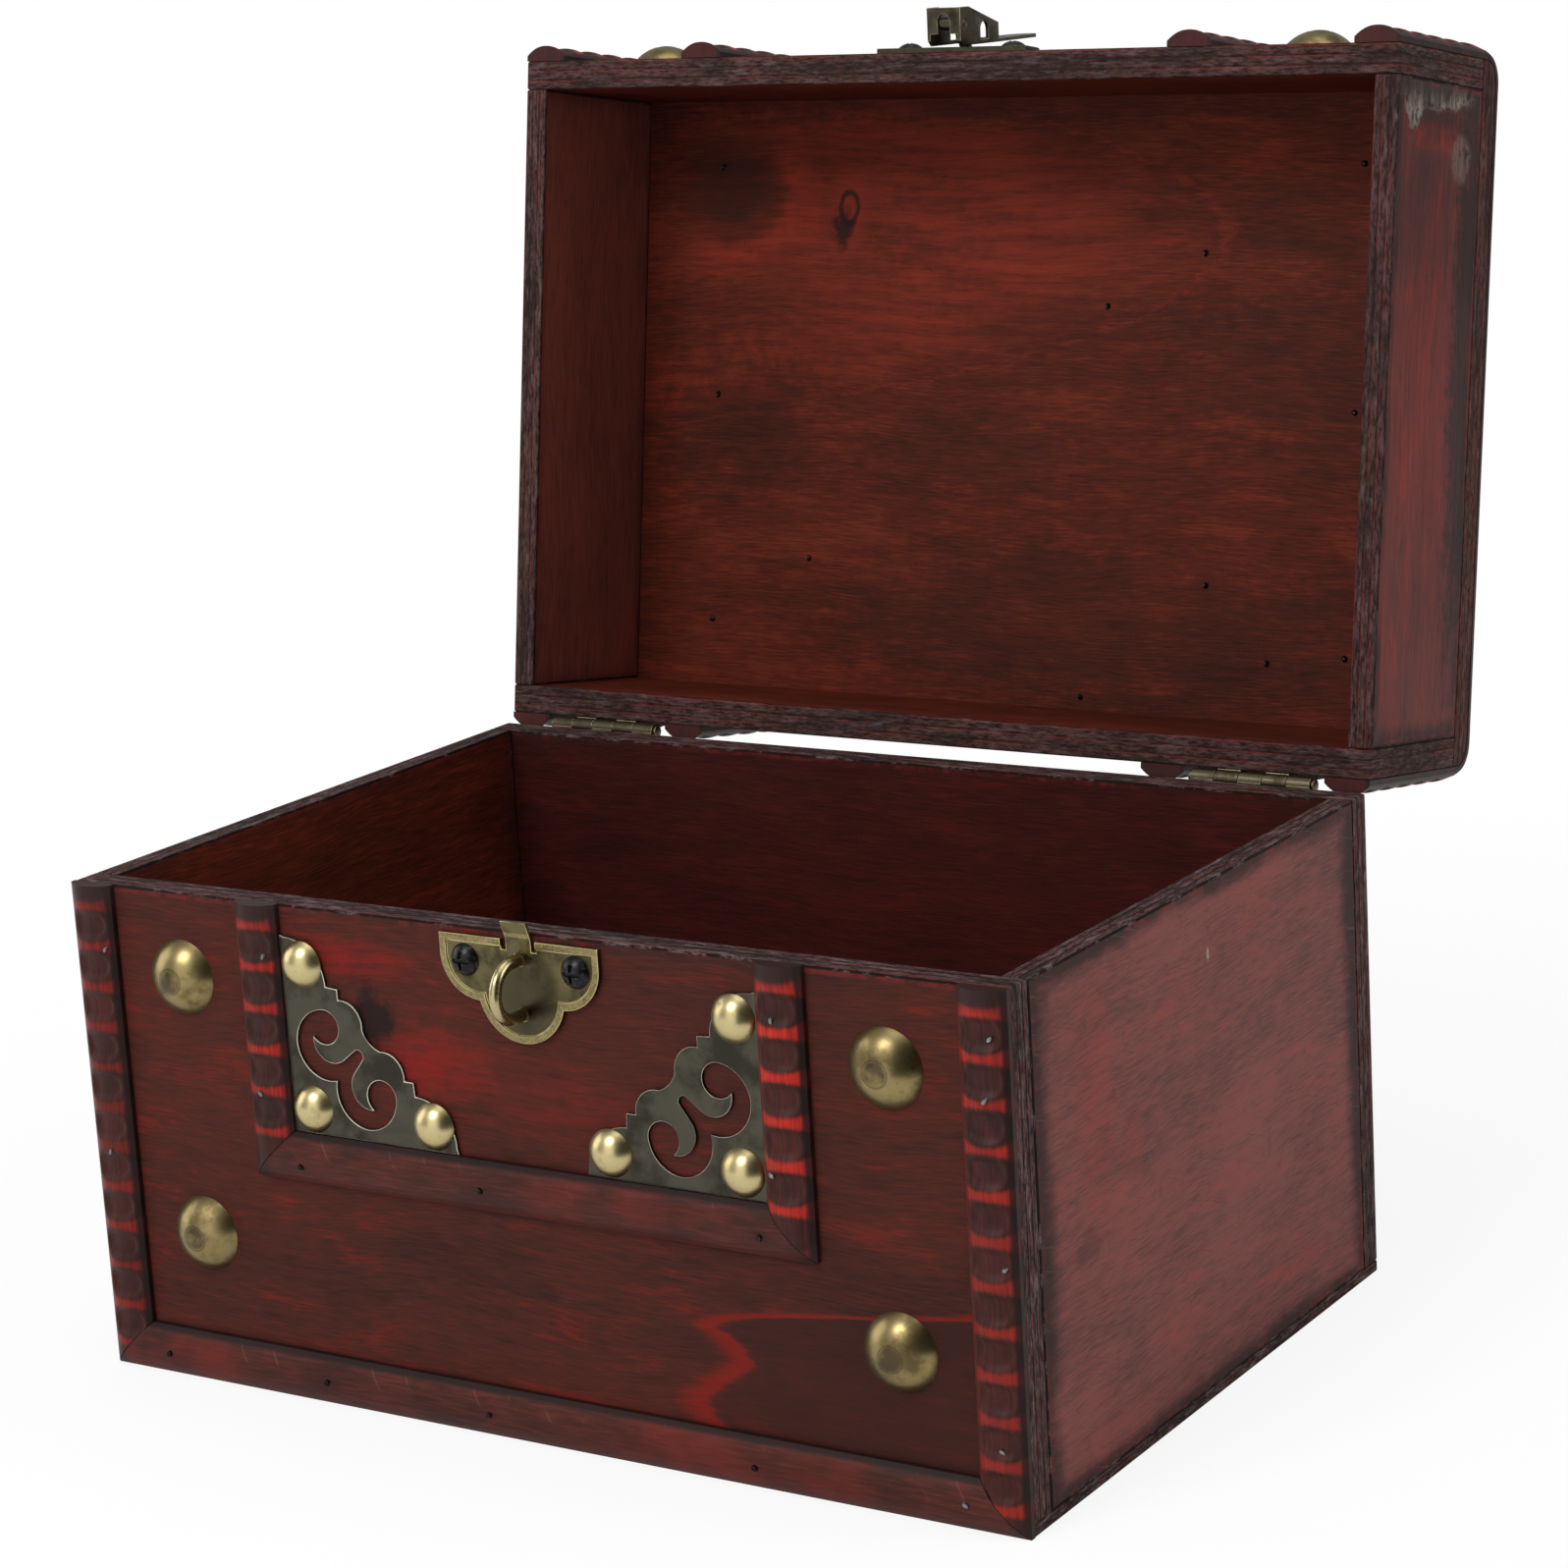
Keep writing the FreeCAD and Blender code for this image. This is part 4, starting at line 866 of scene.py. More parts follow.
class MouldingTree(Grown):
    """D-section moulding along a path, with hollows pressed across it at a steady pitch."""

    SIZES = ("Width", "Flank", "Proud", "Corner", "Step", "First", "Last", "Pitch", "Hollow", "Round")
    PROFILE_POINTS = 41
    CORNER_STEPS = 10
    HOLLOW_SHARE = 0.82
    ARCH_POWER = 2.3
    EDGE_POWER = 3.4

    def __init__(self) -> None:
        """Writes the tree."""
        super().__init__("pressed_moulding", "Across", *self.SIZES)
        swept = {"Curve": self.path(), "Profile Curve": self.section(), "Fill Caps": True}
        self.close(self.press(self.term("GeometryNodeCurveToMesh", swept)))

    def path(self) -> Term:
        """Rounds and divides the path, and keeps the travel and the outward way on its points.

        Returns:
            The path's curve.
        """
        corner = {"Curve": self.read("Guide"), "Radius": self.read("Corner"), "Count": self.CORNER_STEPS}
        bent = self.term("GeometryNodeFilletCurve", corner | {"Limit Radius": True}, mode="POLY")
        even = {"Curve": bent, "Length": self.read("Step")}
        points = self.term("GeometryNodeResampleCurve", even, mode="LENGTH")
        across = {"Curve": points, "Normal": self.read("Across")}
        points = self.term("GeometryNodeSetCurveNormal", across, mode="FREE")
        travel = self.term("GeometryNodeSplineParameter", {}, "Length")
        whole = self.term("GeometryNodeSplineLength", {}, "Length")
        points = self.store(points, "travel", travel)
        points = self.store(points, "end", self.math("MINIMUM", travel, whole - travel))
        tangent = self.term("GeometryNodeInputTangent", {})
        outward = {0: tangent, 1: self.read("Across")}
        out = self.term("ShaderNodeVectorMath", outward, operation="CROSS_PRODUCT")
        return self.store(points, "outward", out, "FLOAT_VECTOR")

    def section(self) -> Term:
        """Draws the D section: two upright flanks under a low arch.

        Returns:
            The section's closed curve.
        """
        last = self.PROFILE_POINTS - 1
        line = self.term("GeometryNodeCurvePrimitiveLine", {"End": (0.01, 0.0, 0.0)}, mode="POINTS")
        even = {"Curve": line, "Count": self.PROFILE_POINTS}
        line = self.term("GeometryNodeResampleCurve", even, mode="COUNT")
        index = self.term("GeometryNodeInputIndex", {})
        step = self.math("MINIMUM", self.math("MAXIMUM", (index - 1) / (last - 2), 0.0), 1.0)
        side = step * 2 - 1
        foot = self.math("LESS_THAN", abs(index * 2 - last), last - 0.5)
        arch = 1 - abs(side) ** self.ARCH_POWER
        rise = (self.read("Flank") + (self.read("Proud") - self.read("Flank")) * arch) * foot
        spot = self.vector(side * self.read("Width") * 0.5, rise, 0.0)
        drawn = self.term("GeometryNodeSetPosition", {"Geometry": line, "Position": spot})
        drawn = self.store(drawn, "rise", rise)
        drawn = self.store(drawn, "side", side)
        return self.term("GeometryNodeSetSplineCyclic", {"Geometry": drawn, "Cyclic": True})

    def press(self, solid: Term) -> Term:
        """Presses round-cornered hollows into the arch and keeps the place between them as an attribute.

        Args:
            solid: The plain moulding.

        Returns:
            The pressed moulding.
        """
        travel, rise, side = self.recall("travel"), self.recall("rise"), self.recall("side")
        pitch = self.read("Pitch")
        phase = (travel - self.read("First")) / pitch
        off = (phase - self.math("ROUND", phase)) * pitch
        from_first = self.math("GREATER_THAN", travel, self.read("First") - pitch * 0.5)
        to_last = self.math("LESS_THAN", travel, self.read("Last") + pitch * 0.5)
        edge = (abs(side) / self.HOLLOW_SHARE) ** self.EDGE_POWER
        bowl = self.read("Hollow") * (1 - edge) - off * off / (self.read("Round") * 2)
        raised = self.math("GREATER_THAN", rise, self.read("Flank") * 0.5)
        share = self.math("MAXIMUM", bowl / self.read("Hollow"), 0.0)
        drop = self.read("Hollow") * share * share * (3 - share * 2) * from_first * to_last * raised
        away = {0: self.recall("outward", "FLOAT_VECTOR"), "Scale": drop * -1.0}
        shift = self.term("ShaderNodeVectorMath", away, operation="SCALE")
        pressed = self.term("GeometryNodeSetPosition", {"Geometry": solid, "Offset": shift})
        return self.store(pressed, "phase", abs(off) / pitch * 2)


class HeadTree(Grown):
    """Domed heads set on points."""

    SEGMENTS = 56
    RINGS = 44
    RING_WIDTH = 0.035

    def __init__(self) -> None:
        """Writes the tree."""
        super().__init__("domed_heads", "Turn", "Radius", "Height", "Ring", "Dent")
        radius, height = self.read("Radius"), self.read("Height")
        ball = {"Segments": self.SEGMENTS, "Rings": self.RINGS, "Radius": 1.0}
        x, y, z = self.parts(self.term("GeometryNodeInputPosition", {}))
        out = self.math("SQRT", x * x + y * y)
        crown = (radius * radius + height * height) / (height * 2)
        cap = self.math("SQRT", crown * crown - out * out * radius * radius) - crown + height
        spread = (out - self.read("Ring")) / self.RING_WIDTH
        dent = self.read("Dent") * self.math("EXPONENT", spread * spread * -1.0)
        top = self.math("GREATER_THAN", z, 0.001)
        lift = self.math("MAXIMUM", cap - dent, 0.0) * top
        spot = self.vector(x * radius, y * radius, lift)
        kept = self.store(self.term("GeometryNodeMeshUVSphere", ball), "out", out)
        shaped = self.term("GeometryNodeSetPosition", {"Geometry": kept, "Position": spot})
        shaped = self.term("GeometryNodeSetShadeSmooth", {"Geometry": shaped})
        self.scatter(shaped, self.turned(self.read("Turn")))


class StubTree(Grown):
    """Small ends of nails and staples that stand out of the wood, each leaning its own way."""

    LEAN = 0.2
    SPIN = 1.2
    SEED = 7

    def __init__(self) -> None:
        """Writes the tree."""
        super().__init__("nail_stubs", "Turn", "Radius", "Tip", "Height", "Squash")
        cone = {"Vertices": 20, "Side Segments": 4, "Radius Top": self.read("Tip")}
        cone |= {"Radius Bottom": self.read("Radius"), "Depth": self.read("Height")}
        stub = self.term("GeometryNodeMeshCone", cone, fill_type="NGON")
        limits = {0: (-self.LEAN, -self.LEAN, -self.SPIN), 1: (self.LEAN, self.LEAN, self.SPIN)}
        sway = self.term("FunctionNodeRandomValue", limits | {"Seed": self.SEED}, data_type="FLOAT_VECTOR")
        turns = {"Rotation": self.turned(self.read("Turn")), "Rotate By": self.turned(sway)}
        leaning = self.term("FunctionNodeRotateRotation", turns, rotation_space="LOCAL")
        self.scatter(stub, leaning, self.vector(self.read("Squash"), 1.0, 1.0))


def points_guide(points: Places) -> Mesh:
    """Makes a guide of loose points.

    Args:
        points: The places, in metres.

    Returns:
        The guide.
    """
    guide = bpy.data.meshes.new("points")
    guide.from_pydata([tuple(point) for point in points], [], [])
    return guide


def path_guide(points: Places) -> Curve:
    """Makes a guide path through points.

    Args:
        points: The path's corners, in metres.

    Returns:
        The path as a curve.
    """
    guide = bpy.data.curves.new("path", "CURVE")
    guide.dimensions = "3D"
    spline = guide.splines.new("POLY")
    spline.points.add(len(points) - 1)
    for held, point in zip(spline.points, points):
        held.co = (*point, 1.0)
    return guide


def merged(node: str) -> BMesh:
    """Copies a CAD node's mesh and joins its loose triangles.

    Args:
        node: The node's name.

    Returns:
        The joined copy.
    """
    copy = bmesh.new()
    copy.from_mesh(frame["nodes"][node].data)
    bmesh.ops.remove_doubles(copy, verts=copy.verts, dist=WELD)
    return copy


def span(node: str, body: Body) -> tuple[Vector, Vector]:
    """Finds the lowest and highest corners of a CAD node, with the lid shut.

    Args:
        node: The node's name.
        body: The body that carries it.

    Returns:
        The two corners.
    """
    turn = SHUT if body is Body.LID else Matrix.Identity(4)
    places = [turn @ vert.co for vert in frame["nodes"][node].data.vertices]
    low = Vector(min(place[axis] for place in places) for axis in range(3))
    high = Vector(max(place[axis] for place in places) for axis in range(3))
    return low, high


def sharp_edges(copy: BMesh) -> list[BMEdge]:
    """Finds the edges that want rounding."""
    return [edge for edge in copy.edges if edge.is_manifold and edge.calc_face_angle() > SHARP]


def round_edges(copy: BMesh, edges: list[BMEdge], width: float, steps: int) -> list[BMFace]:
    """Rounds edges and hands back the new faces."""
    manner = {"offset_type": "OFFSET", "profile": 0.5, "affect": "EDGES", "clamp_overlap": True}
    return bmesh.ops.bevel(copy, geom=edges, offset=width, segments=steps, **manner)["faces"]


def soften(copy: BMesh, width: float) -> None:
    """Rounds the sharp edges of a joined copy and marks them as rubbed.

    Args:
        copy: The joined copy.
        width: The width of the rounding, in metres.
    """
    bmesh.ops.dissolve_limit(copy, angle_limit=FLAT, verts=copy.verts, edges=copy.edges, delimit=set())
    sharp = sharp_edges(copy)
    rub = copy.faces.layers.float.new("rub")
    for face in round_edges(copy, sharp, width, 2):
        face[rub] = 1.0


def smooth_mesh(copy: BMesh, name: str, angle: float) -> Mesh:
    """Writes a mesh that is smooth up to an angle.

    Args:
        copy: The shape, which is freed.
        name: The mesh's name.
        angle: The angle, in degrees.

    Returns:
        The mesh.
    """
    mesh = bpy.data.meshes.new(name)
    bmesh.ops.triangulate(copy, faces=[face for face in copy.faces if len(face.verts) > 4])
    copy.to_mesh(mesh)
    copy.free()
    mesh.shade_smooth()
    mesh.set_sharp_from_angle(angle=math.radians(angle))
    return mesh


def settle(
    name: str, mesh: Mesh, body: Body, slot: str, finish: Material, nodes: Sequence[str] = ()
) -> Object:
    """Puts a finished piece into the scene on its body.

    Args:
        name: The piece's name.
        mesh: Its mesh, in place.
        body: The body that carries it.
        slot: The record's material slot; not used.
        finish: Its material.
        nodes: The CAD nodes that it stands for.

    Returns:
        The piece.
    """
    mesh.name = name
    mesh.materials.clear()
    mesh.materials.append(finish)
    piece = bpy.data.objects.new(name, mesh)
    bpy.context.scene.collection.objects.link(piece)
    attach(piece, body.value)
    if nodes:
        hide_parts(*nodes)
    LOG.info("%s on %s: %d faces", name, body.value, len(mesh.polygons))
    return piece


@dataclass
class PlyPanel:
    """One plywood panel with softened edges and its own stain."""

    node: str
    body: Body
    grain: Axis
    face: Axis
    inner_at_low: bool
    outer: Stain
    inner: Stain
    outer_figures: tuple[Figure, ...] = ()
    inner_figures: tuple[Figure, ...] = ()
    top_round: float = 0.0
    softness: float = 0.45 * MM

    def build(self) -> Object:
        """Builds and dresses the panel.

        Returns:
            The panel.
        """
        low, high = span(self.node, self.body)
        copy = bmesh.new()
        bmesh.ops.create_cube(copy, size=1.0, matrix=Matrix.LocRotScale((low + high) / 2, None, high - low))
        if self.top_round:
            long_edges = [edge for edge in copy.edges if self.is_long_top(edge, high)]
            round_edges(copy, long_edges, self.top_round, TOP_STEPS)
        round_edges(copy, sharp_edges(copy), self.softness, 2)
        mesh = smooth_mesh(copy, self.node, PLY_SMOOTH)
        if self.body is Body.LID:
            mesh.transform(OPEN)
        finish = self.dress(low, high)
        return settle(f"{self.node}_ply", mesh, self.body, "panel_plywood", finish, [self.node])

    def is_long_top(self, edge: BMEdge, high: Vector) -> bool:
        """Tells whether an edge runs along the panel's width at its top."""
        one, two = (vert.co for vert in edge.verts)
        return abs(one.x - two.x) > LONG and min(one.z, two.z) > high.z - TOUCH

    def dress(self, low: Vector, high: Vector) -> Material:
        """Makes the panel's own finish for its corners."""
        return PlyFinish(self, low, high, LID_EDGE if self.body is Body.LID else BASE_EDGE).make()


@dataclass
class Carcass:
    """The ten plywood panels of base and lid."""

    top_round: float = 5.0 * MM

    def build(self) -> None:
        """Builds and dresses every panel."""
        base, lid = Body.BASE, Body.LID
        wide, deep, high = Axis.WIDTH, Axis.DEPTH, Axis.HEIGHT
        panels = [
            PlyPanel("base_front_panel", base, wide, deep, False, FRONT_STAIN, INSIDE_STAIN, FRONT_MARKS),
            PlyPanel("base_back_panel", base, wide, deep, True, FRONT_STAIN, INSIDE_STAIN),
            # Painted light: the base's left panel takes the lighter lid stain on its inner face.
            PlyPanel("base_left_panel", base, deep, wide, False, SIDE_STAIN_WITH_PAINTED_LIGHT, LID_INSIDE_STAIN),
            PlyPanel("base_right_panel", base, deep, wide, True, SIDE_STAIN_WITH_PAINTED_LIGHT, INSIDE_STAIN, SIDE_MARKS),
            PlyPanel("base_bottom_panel", base, wide, high, False, FRONT_STAIN, INSIDE_STAIN),
            PlyPanel("lid_front_panel", lid, wide, deep, False, FRONT_STAIN, LID_INSIDE_STAIN),
            PlyPanel("lid_back_panel", lid, wide, deep, True, FRONT_STAIN, LID_INSIDE_STAIN),
            PlyPanel("lid_left_panel", lid, deep, wide, False, LID_SIDE_STAIN, WALL_STAIN_WITH_PAINTED_LIGHT),
            PlyPanel(
                "lid_right_panel", lid, deep, wide, True, LID_SIDE_STAIN, LID_INSIDE_STAIN, LID_SIDE_MARKS
            ),
            PlyPanel(
                "lid_top_panel", lid, wide, high, True, FRONT_STAIN, LID_INSIDE_STAIN,
                inner_figures=LID_MARKS, top_round=self.top_round,
            ),
        ]
        for panel in panels:
            panel.build()


@dataclass(frozen=True)
class Brads:
    """One kind of brad in the front's mouldings, with its places across and up in millimetres."""

    name: str
    steel: DarkSteelFinish
    radius: float
    squash: float
    places: tuple[tuple[float, float], ...]
    height: float = 0.5 * MM
    taper: float = 0.8

    def build(self, stubs: StubTree, carriers: Sequence[Object]) -> None:
        """Sets the brads into the mouldings that lie under their places.

        Args:
            stubs: The tree that makes them.
            carriers: The mouldings of the front.
        """
        finish = self.steel.make()
        spots = []
        for across, up in self.places:
            start = Vector((across * MM, IN_FRONT, up * MM))
            hits = [piece.ray_cast(start, Vector((0, 1, 0))) for piece in carriers]
            spots += [hit[1] for hit in hits if hit[0]][:1]
        values = {"Turn": (Facing.FRONT.value, 0.0, 0.0), "Radius": self.radius, "Height": self.height}
        values |= {"Tip": self.radius * self.taper, "Squash": self.squash, "Finish": finish}
        settle(self.name, stubs.grow(points_guide(spots), values), Body.BASE, "black_screw", finish)


STAPLE_STEEL = DarkSteelFinish("staple_steel", (0.16, 0.16, 0.165), (0.42, 0.43, 0.45))
BRAD_STEEL = DarkSteelFinish("brad_dark", (0.012, 0.010, 0.009), (0.06, 0.05, 0.045))
POINT_STEEL = DarkSteelFinish("nail_point_steel", (0.035, 0.03, 0.026), (0.2, 0.18, 0.15))
STAPLES = Brads(
    "moulding_staples", STAPLE_STEEL, 0.8 * MM, 0.55,
    (
        (106.7, 95.8), (105.7, 84.5), (107.6, 52.4), (105.4, 17.1), (97.6, 5.7), (58.8, 64.1), (60.9, 94.4),
        (-101.1, 91.7), (-62.2, 65.7), (-104.3, 48.0), (-59.2, 94.4),
    ),
)
BRADS = Brads(
    "moulding_brads", BRAD_STEEL, 0.75 * MM, 0.8,
    ((-93.6, 5.0), (-51.8, 5.4), (-11.0, 5.2), (51.4, 4.9), (-53.7, 51.2), (-9.0, 52.2), (55.8, 51.7)),
)


@dataclass
class Mouldings:
    """The pressed strips and straps and the plain sills, with the brads that hold them."""

    flank: float = 1.2 * MM
    step: float = 0.5 * MM
    pitch: float = 8.65 * MM
    hollow: float = 1.25 * MM
    round: float = 5.0 * MM
    first: float = 8.4 * MM
    foot: float = 9.5 * MM
    corner: float = 5.0 * MM
    mitre_gap: float = 0.08 * MM
    strap_margin: float = 2.0 * MM
    strap_wear: float = 0.4
    uprights: tuple[tuple[str, float, float], ...] = (
        ("base_left_strip", -1.0, 0.35), ("frame_left_strip", -1.0, 0.75),
        ("base_right_strip", 1.0, 0.9), ("frame_right_strip", 1.0, 1.0),
    )
    sills: tuple[str, ...] = ("base_bottom_strip", "frame_bottom_strip")
    straps: tuple[str, ...] = (
        "lid_left_strap", "lid_inner_left_strap", "lid_inner_right_strap", "lid_right_strap",
    )

    def build(self) -> None:
        """Builds and dresses every moulding and brad."""
        self.tree = MouldingTree()
        self.plain = MouldingFinish("plain_moulding_stain", False, False).make()
        self.lid_pressed = MouldingFinish("lid_moulding_stain", True, True, self.strap_wear).make()
        fronts = [self.upright(*row) for row in self.uprights] + [self.sill(node) for node in self.sills]
        for node in self.straps:
            self.strap(node)
        stubs = StubTree()
        for brads in (STAPLES, BRADS):
            brads.build(stubs, fronts)

    def sizes(self, across: Vector, width: float, proud: float) -> dict[str, Any]:
        """Gathers the tree's inputs that all mouldings share, with no hollows.

        Args:
            across: The way across the moulding.
            width: Its width.
            proud: Its height over its bed.

        Returns:
            The inputs by name.
        """
        values = {"Across": across, "Width": width, "Flank": self.flank, "Proud": proud, "Corner": 0.0}
        values |= {"Step": self.step, "First": 0.0, "Last": -1.0, "Pitch": self.pitch}
        return values | {"Hollow": self.hollow, "Round": self.round}

    def upright(self, node: str, way: float, wear: float) -> Object:
        """Builds one upright strip, mitred at its foot.

        Args:
            node: The CAD node that it stands for.
            way: -1 on the left and 1 on the right.
            wear: How bright its lands are rubbed.

        Returns:
            The strip.
        """
        low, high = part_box(node)
        middle = (low.x + high.x) / 2
        guide = path_guide([(middle, high.y, high.z), (middle, high.y, low.z)])
        values = self.sizes(Vector((1, 0, 0)), high.x - low.x, high.y - low.y)
        values["First"] = self.first
        room = high.z - low.z - self.first - self.foot
        values["Last"] = self.first + self.pitch * math.floor(room / self.pitch)
        finish = MouldingFinish(f"{node}_stain", False, True, wear).make()
        mesh = self.tree.grow(guide, values | {"Finish": finish})
        outer = low.x if way < 0 else high.x
        mesh = self.mitre(mesh, Vector((outer, 0, low.z)), Vector((-way, 0, -1)))
        return settle(f"{node}_moulding", mesh, Body.BASE, "moulding_wood", finish, [node])

    def sill(self, node: str) -> Object:
        """Builds one plain sill, mitred at both ends.

        Args:
            node: The CAD node that it stands for.

        Returns:
            The sill.
        """
        low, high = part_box(node)
        middle = (low.z + high.z) / 2
        guide = path_guide([(low.x, high.y, middle), (high.x, high.y, middle)])
        values = self.sizes(Vector((0, 0, 1)), high.z - low.z, high.y - low.y)
        values["Finish"] = self.plain
        mesh = self.tree.grow(guide, values)
        mesh = self.mitre(mesh, Vector((low.x, 0, low.z)), Vector((-1, 0, 1)))
        mesh = self.mitre(mesh, Vector((high.x, 0, low.z)), Vector((1, 0, 1)))
        return settle(f"{node}_moulding", mesh, Body.BASE, "moulding_wood", self.plain, [node])

    def strap(self, node: str) -> None:
        """Builds one strap bent over the lid from its back rim to its front rim.

        Args:
            node: The CAD node that it stands for.
        """
        low, high = span(node, Body.LID)
        top = span("lid_top_panel", Body.LID)[1].z
        proud = high.z - top
        middle = (low.x + high.x) / 2
        back, front = high.y - proud, low.y + proud
        corners = [(back, low.z), (back, top), (front, top), (front, low.z)]
        guide = path_guide([(middle, y, z) for y, z in corners])
        values = self.sizes(Vector((1, 0, 0)), high.x - low.x, proud)
        length = back - front + 2 * (top - low.z) - (4 - math.pi) * self.corner
        reach = math.floor((length / 2 - self.strap_margin) / self.pitch) * self.pitch
        values |= {"Corner": self.corner, "First": length / 2 - reach, "Last": length / 2 + reach}
        values["Finish"] = self.lid_pressed
        mesh = self.tree.grow(guide, values)
        mesh.transform(OPEN)
        mesh.shade_smooth()
        mesh.set_sharp_from_angle(angle=math.radians(MOULDING_SMOOTH))
        settle(f"{node}_moulding", mesh, Body.LID, "moulding_wood", self.lid_pressed, [node])

    def mitre(self, mesh: Mesh, corner: Vector, away: Vector) -> Mesh:
        """Cuts a moulding's end on the slant.

        Args:
            mesh: The moulding.
            corner: A point of the joint.
            away: The side that is cut off.

        Returns:
            The cut moulding.
        """
        copy = bmesh.new()
        copy.from_mesh(mesh)
        everything = copy.verts[:] + copy.edges[:] + copy.faces[:]
        spot = corner - away.normalized() * self.mitre_gap
        bmesh.ops.bisect_plane(copy, geom=everything, plane_co=spot, plane_no=away, clear_outer=True)
        rim = [edge for edge in copy.edges if edge.is_boundary]
        bmesh.ops.holes_fill(copy, edges=rim, sides=0)
        bmesh.ops.recalc_face_normals(copy, faces=copy.faces)
        return smooth_mesh(copy, "mitred", MOULDING_SMOOTH)


TACK_BRASS = BrassFinish(
    "tack_brass_aged", (0.27, 0.21, 0.092), (0.125, 0.092, 0.040), (0.40, 0.32, 0.15),
    cover=0.6, gloss=0.31, grain=130.0, mark=0.29,
)
NAIL_BRASS = BrassFinish(
    "nail_brass_polished", (0.52, 0.435, 0.22), (0.31, 0.24, 0.11), (0.6, 0.52, 0.3),
    cover=0.4, gloss=0.31, grain=200.0,
)


@dataclass(frozen=True)
class Dome:
    """A domed head's size and brass."""

    radius: float
    height: float
    dent: float
    brass: BrassFinish


@dataclass
class Studs:
    """The domed tacks and nails, and the nail points inside the lid; the rows are in millimetres."""

    tack: Dome = Dome(8.0 * MM, 4.5 * MM, 0.07 * MM, TACK_BRASS)
    nail: Dome = Dome(4.9 * MM, 3.0 * MM, 0.0, NAIL_BRASS)
    base_rows: tuple[float, ...] = (32.0, 87.0)
    lid_row: float = 123.9
    top_rows: tuple[float, ...] = (-54.0, 0.0, 54.0)
    nail_steps: tuple[tuple[float, float], ...] = ((5.2, 5.2), (5.2, 35.3), (35.3, 5.2))
    point_height: float = 0.9 * MM
    point_radius: float = 0.85 * MM
    point_tip: float = 0.2 * MM
    point_squash: float = 0.85
    lid_brads: tuple[tuple[float, float], ...] = (
        (45.6, -34.4), (21.4, -22.3), (-56.3, 38.1), (48.6, 39.5), (64.4, 56.2), (17.8, 66.5),
    )

    def build(self) -> None:
        """Builds and dresses every head and point."""
        self.heads = HeadTree()
        tack, nail = self.tack.brass.make(), self.nail.brass.make()
        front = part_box("base_front_panel")[0].y
        field = (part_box("base_right_strip")[0].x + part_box("frame_right_strip")[1].x) / 2
        low, high = span("lid_top_panel", Body.LID)
        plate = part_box("left_corner_plate")[0]
        columns = (-field, field)
        base = [(x, front, z * MM) for x in columns for z in self.base_rows]
        lid_front = [(x, front, self.lid_row * MM) for x in columns]
        lid_top = [(x, y * MM, high.z) for x in columns for y in self.top_rows]
        corner = [
            (side * (-plate.x - along * MM), plate.y, plate.z + up * MM)
            for side in (-1, 1)
            for along, up in self.nail_steps
        ]
        self.group("base_tacks", Body.BASE, base, Facing.FRONT, self.tack, tack)
        self.group("lid_front_tacks", Body.LID, lid_front, Facing.FRONT, self.tack, tack)
        self.group("lid_top_tacks", Body.LID, lid_top, Facing.UP, self.tack, tack)
        self.group("corner_nails", Body.BASE, corner, Facing.FRONT, self.nail, nail)
        self.points(low.z, lid_top)

    def group(
        self, node: str, body: Body, points: Places, facing: Facing, dome: Dome, finish: Material
    ) -> None:
        """Builds one group of heads.

        Args:
            node: The CAD node that the group stands for.
            body: The body that carries it.
            points: The places of the heads, with the lid shut.
            facing: The way that they face.
            dome: Their size.
            finish: The brass.
        """
        values = {"Turn": (facing.value, 0.0, 0.0), "Radius": dome.radius, "Height": dome.height}
        values |= {"Ring": TACK_BRASS.mark, "Dent": dome.dent, "Finish": finish}
        mesh = self.heads.grow(points_guide(points), values)
        if body is Body.LID:
            mesh.transform(OPEN)
        settle(f"{node}_domes", mesh, body, "tack_brass", finish, [node])

    def points(self, ceiling: float, tacks: Places) -> None:
        """Builds the nail points that show inside the lid.

        Args:
            ceiling: The height of the lid's inside, shut.
            tacks: The places of the tacks above it.
        """
        dark = POINT_STEEL.make()
        spots = [(x, y, ceiling) for x, y, _ in tacks]
        spots += [(x * MM, y * MM, ceiling) for x, y in self.lid_brads]
        values = {"Turn": (Facing.DOWN.value, 0.0, 0.0), "Radius": self.point_radius, "Tip": self.point_tip}
        values |= {"Height": self.point_height, "Squash": self.point_squash, "Finish": dark}
        mesh = StubTree().grow(points_guide(spots), values)
        mesh.transform(OPEN)
        settle("lid_nail_points", mesh, Body.LID, "tack_brass", dark)


FILIGREE_BRONZE = BrassFinish(
    "filigree_bronze_dark", (0.072, 0.068, 0.050), (0.036, 0.033, 0.024), (0.62, 0.58, 0.48),
    cover=0.6, gloss=0.36, grain=90.0,
)
KEEPER_BRASS = BrassFinish(
    "keeper_brass_aged", (0.135, 0.112, 0.054), (0.062, 0.051, 0.027), (0.56, 0.46, 0.21),
    cover=0.55, gloss=0.33, grain=190.0, shade_pool=(3.5, -77.0, 92.0, 10.0), raised=-77.0,
)
LATCH_BRASS = BrassFinish(
    "latch_brass_aged", (0.070, 0.062, 0.040), (0.026, 0.023, 0.016), (0.36, 0.31, 0.2),
    cover=0.6, gloss=0.32, grain=160.0,
)
WIRE_BRASS = BrassFinish(
    "staple_brass", (0.42, 0.355, 0.19), (0.24, 0.195, 0.098), (0.5, 0.42, 0.24),
    cover=0.3, gloss=0.26, grain=120.0, shade_pool=(2.8, -76.0, 94.0, 8.0),
)
HINGE_BRASS = BrassFinish(
    "hinge_brass_aged", (0.098, 0.082, 0.050), (0.052, 0.044, 0.028), (0.34, 0.28, 0.16),
    cover=0.6, gloss=0.36, grain=260.0,
)
SCREW_STEEL = DarkSteelFinish("screw_black", (0.018, 0.0175, 0.018), (0.07, 0.068, 0.066))


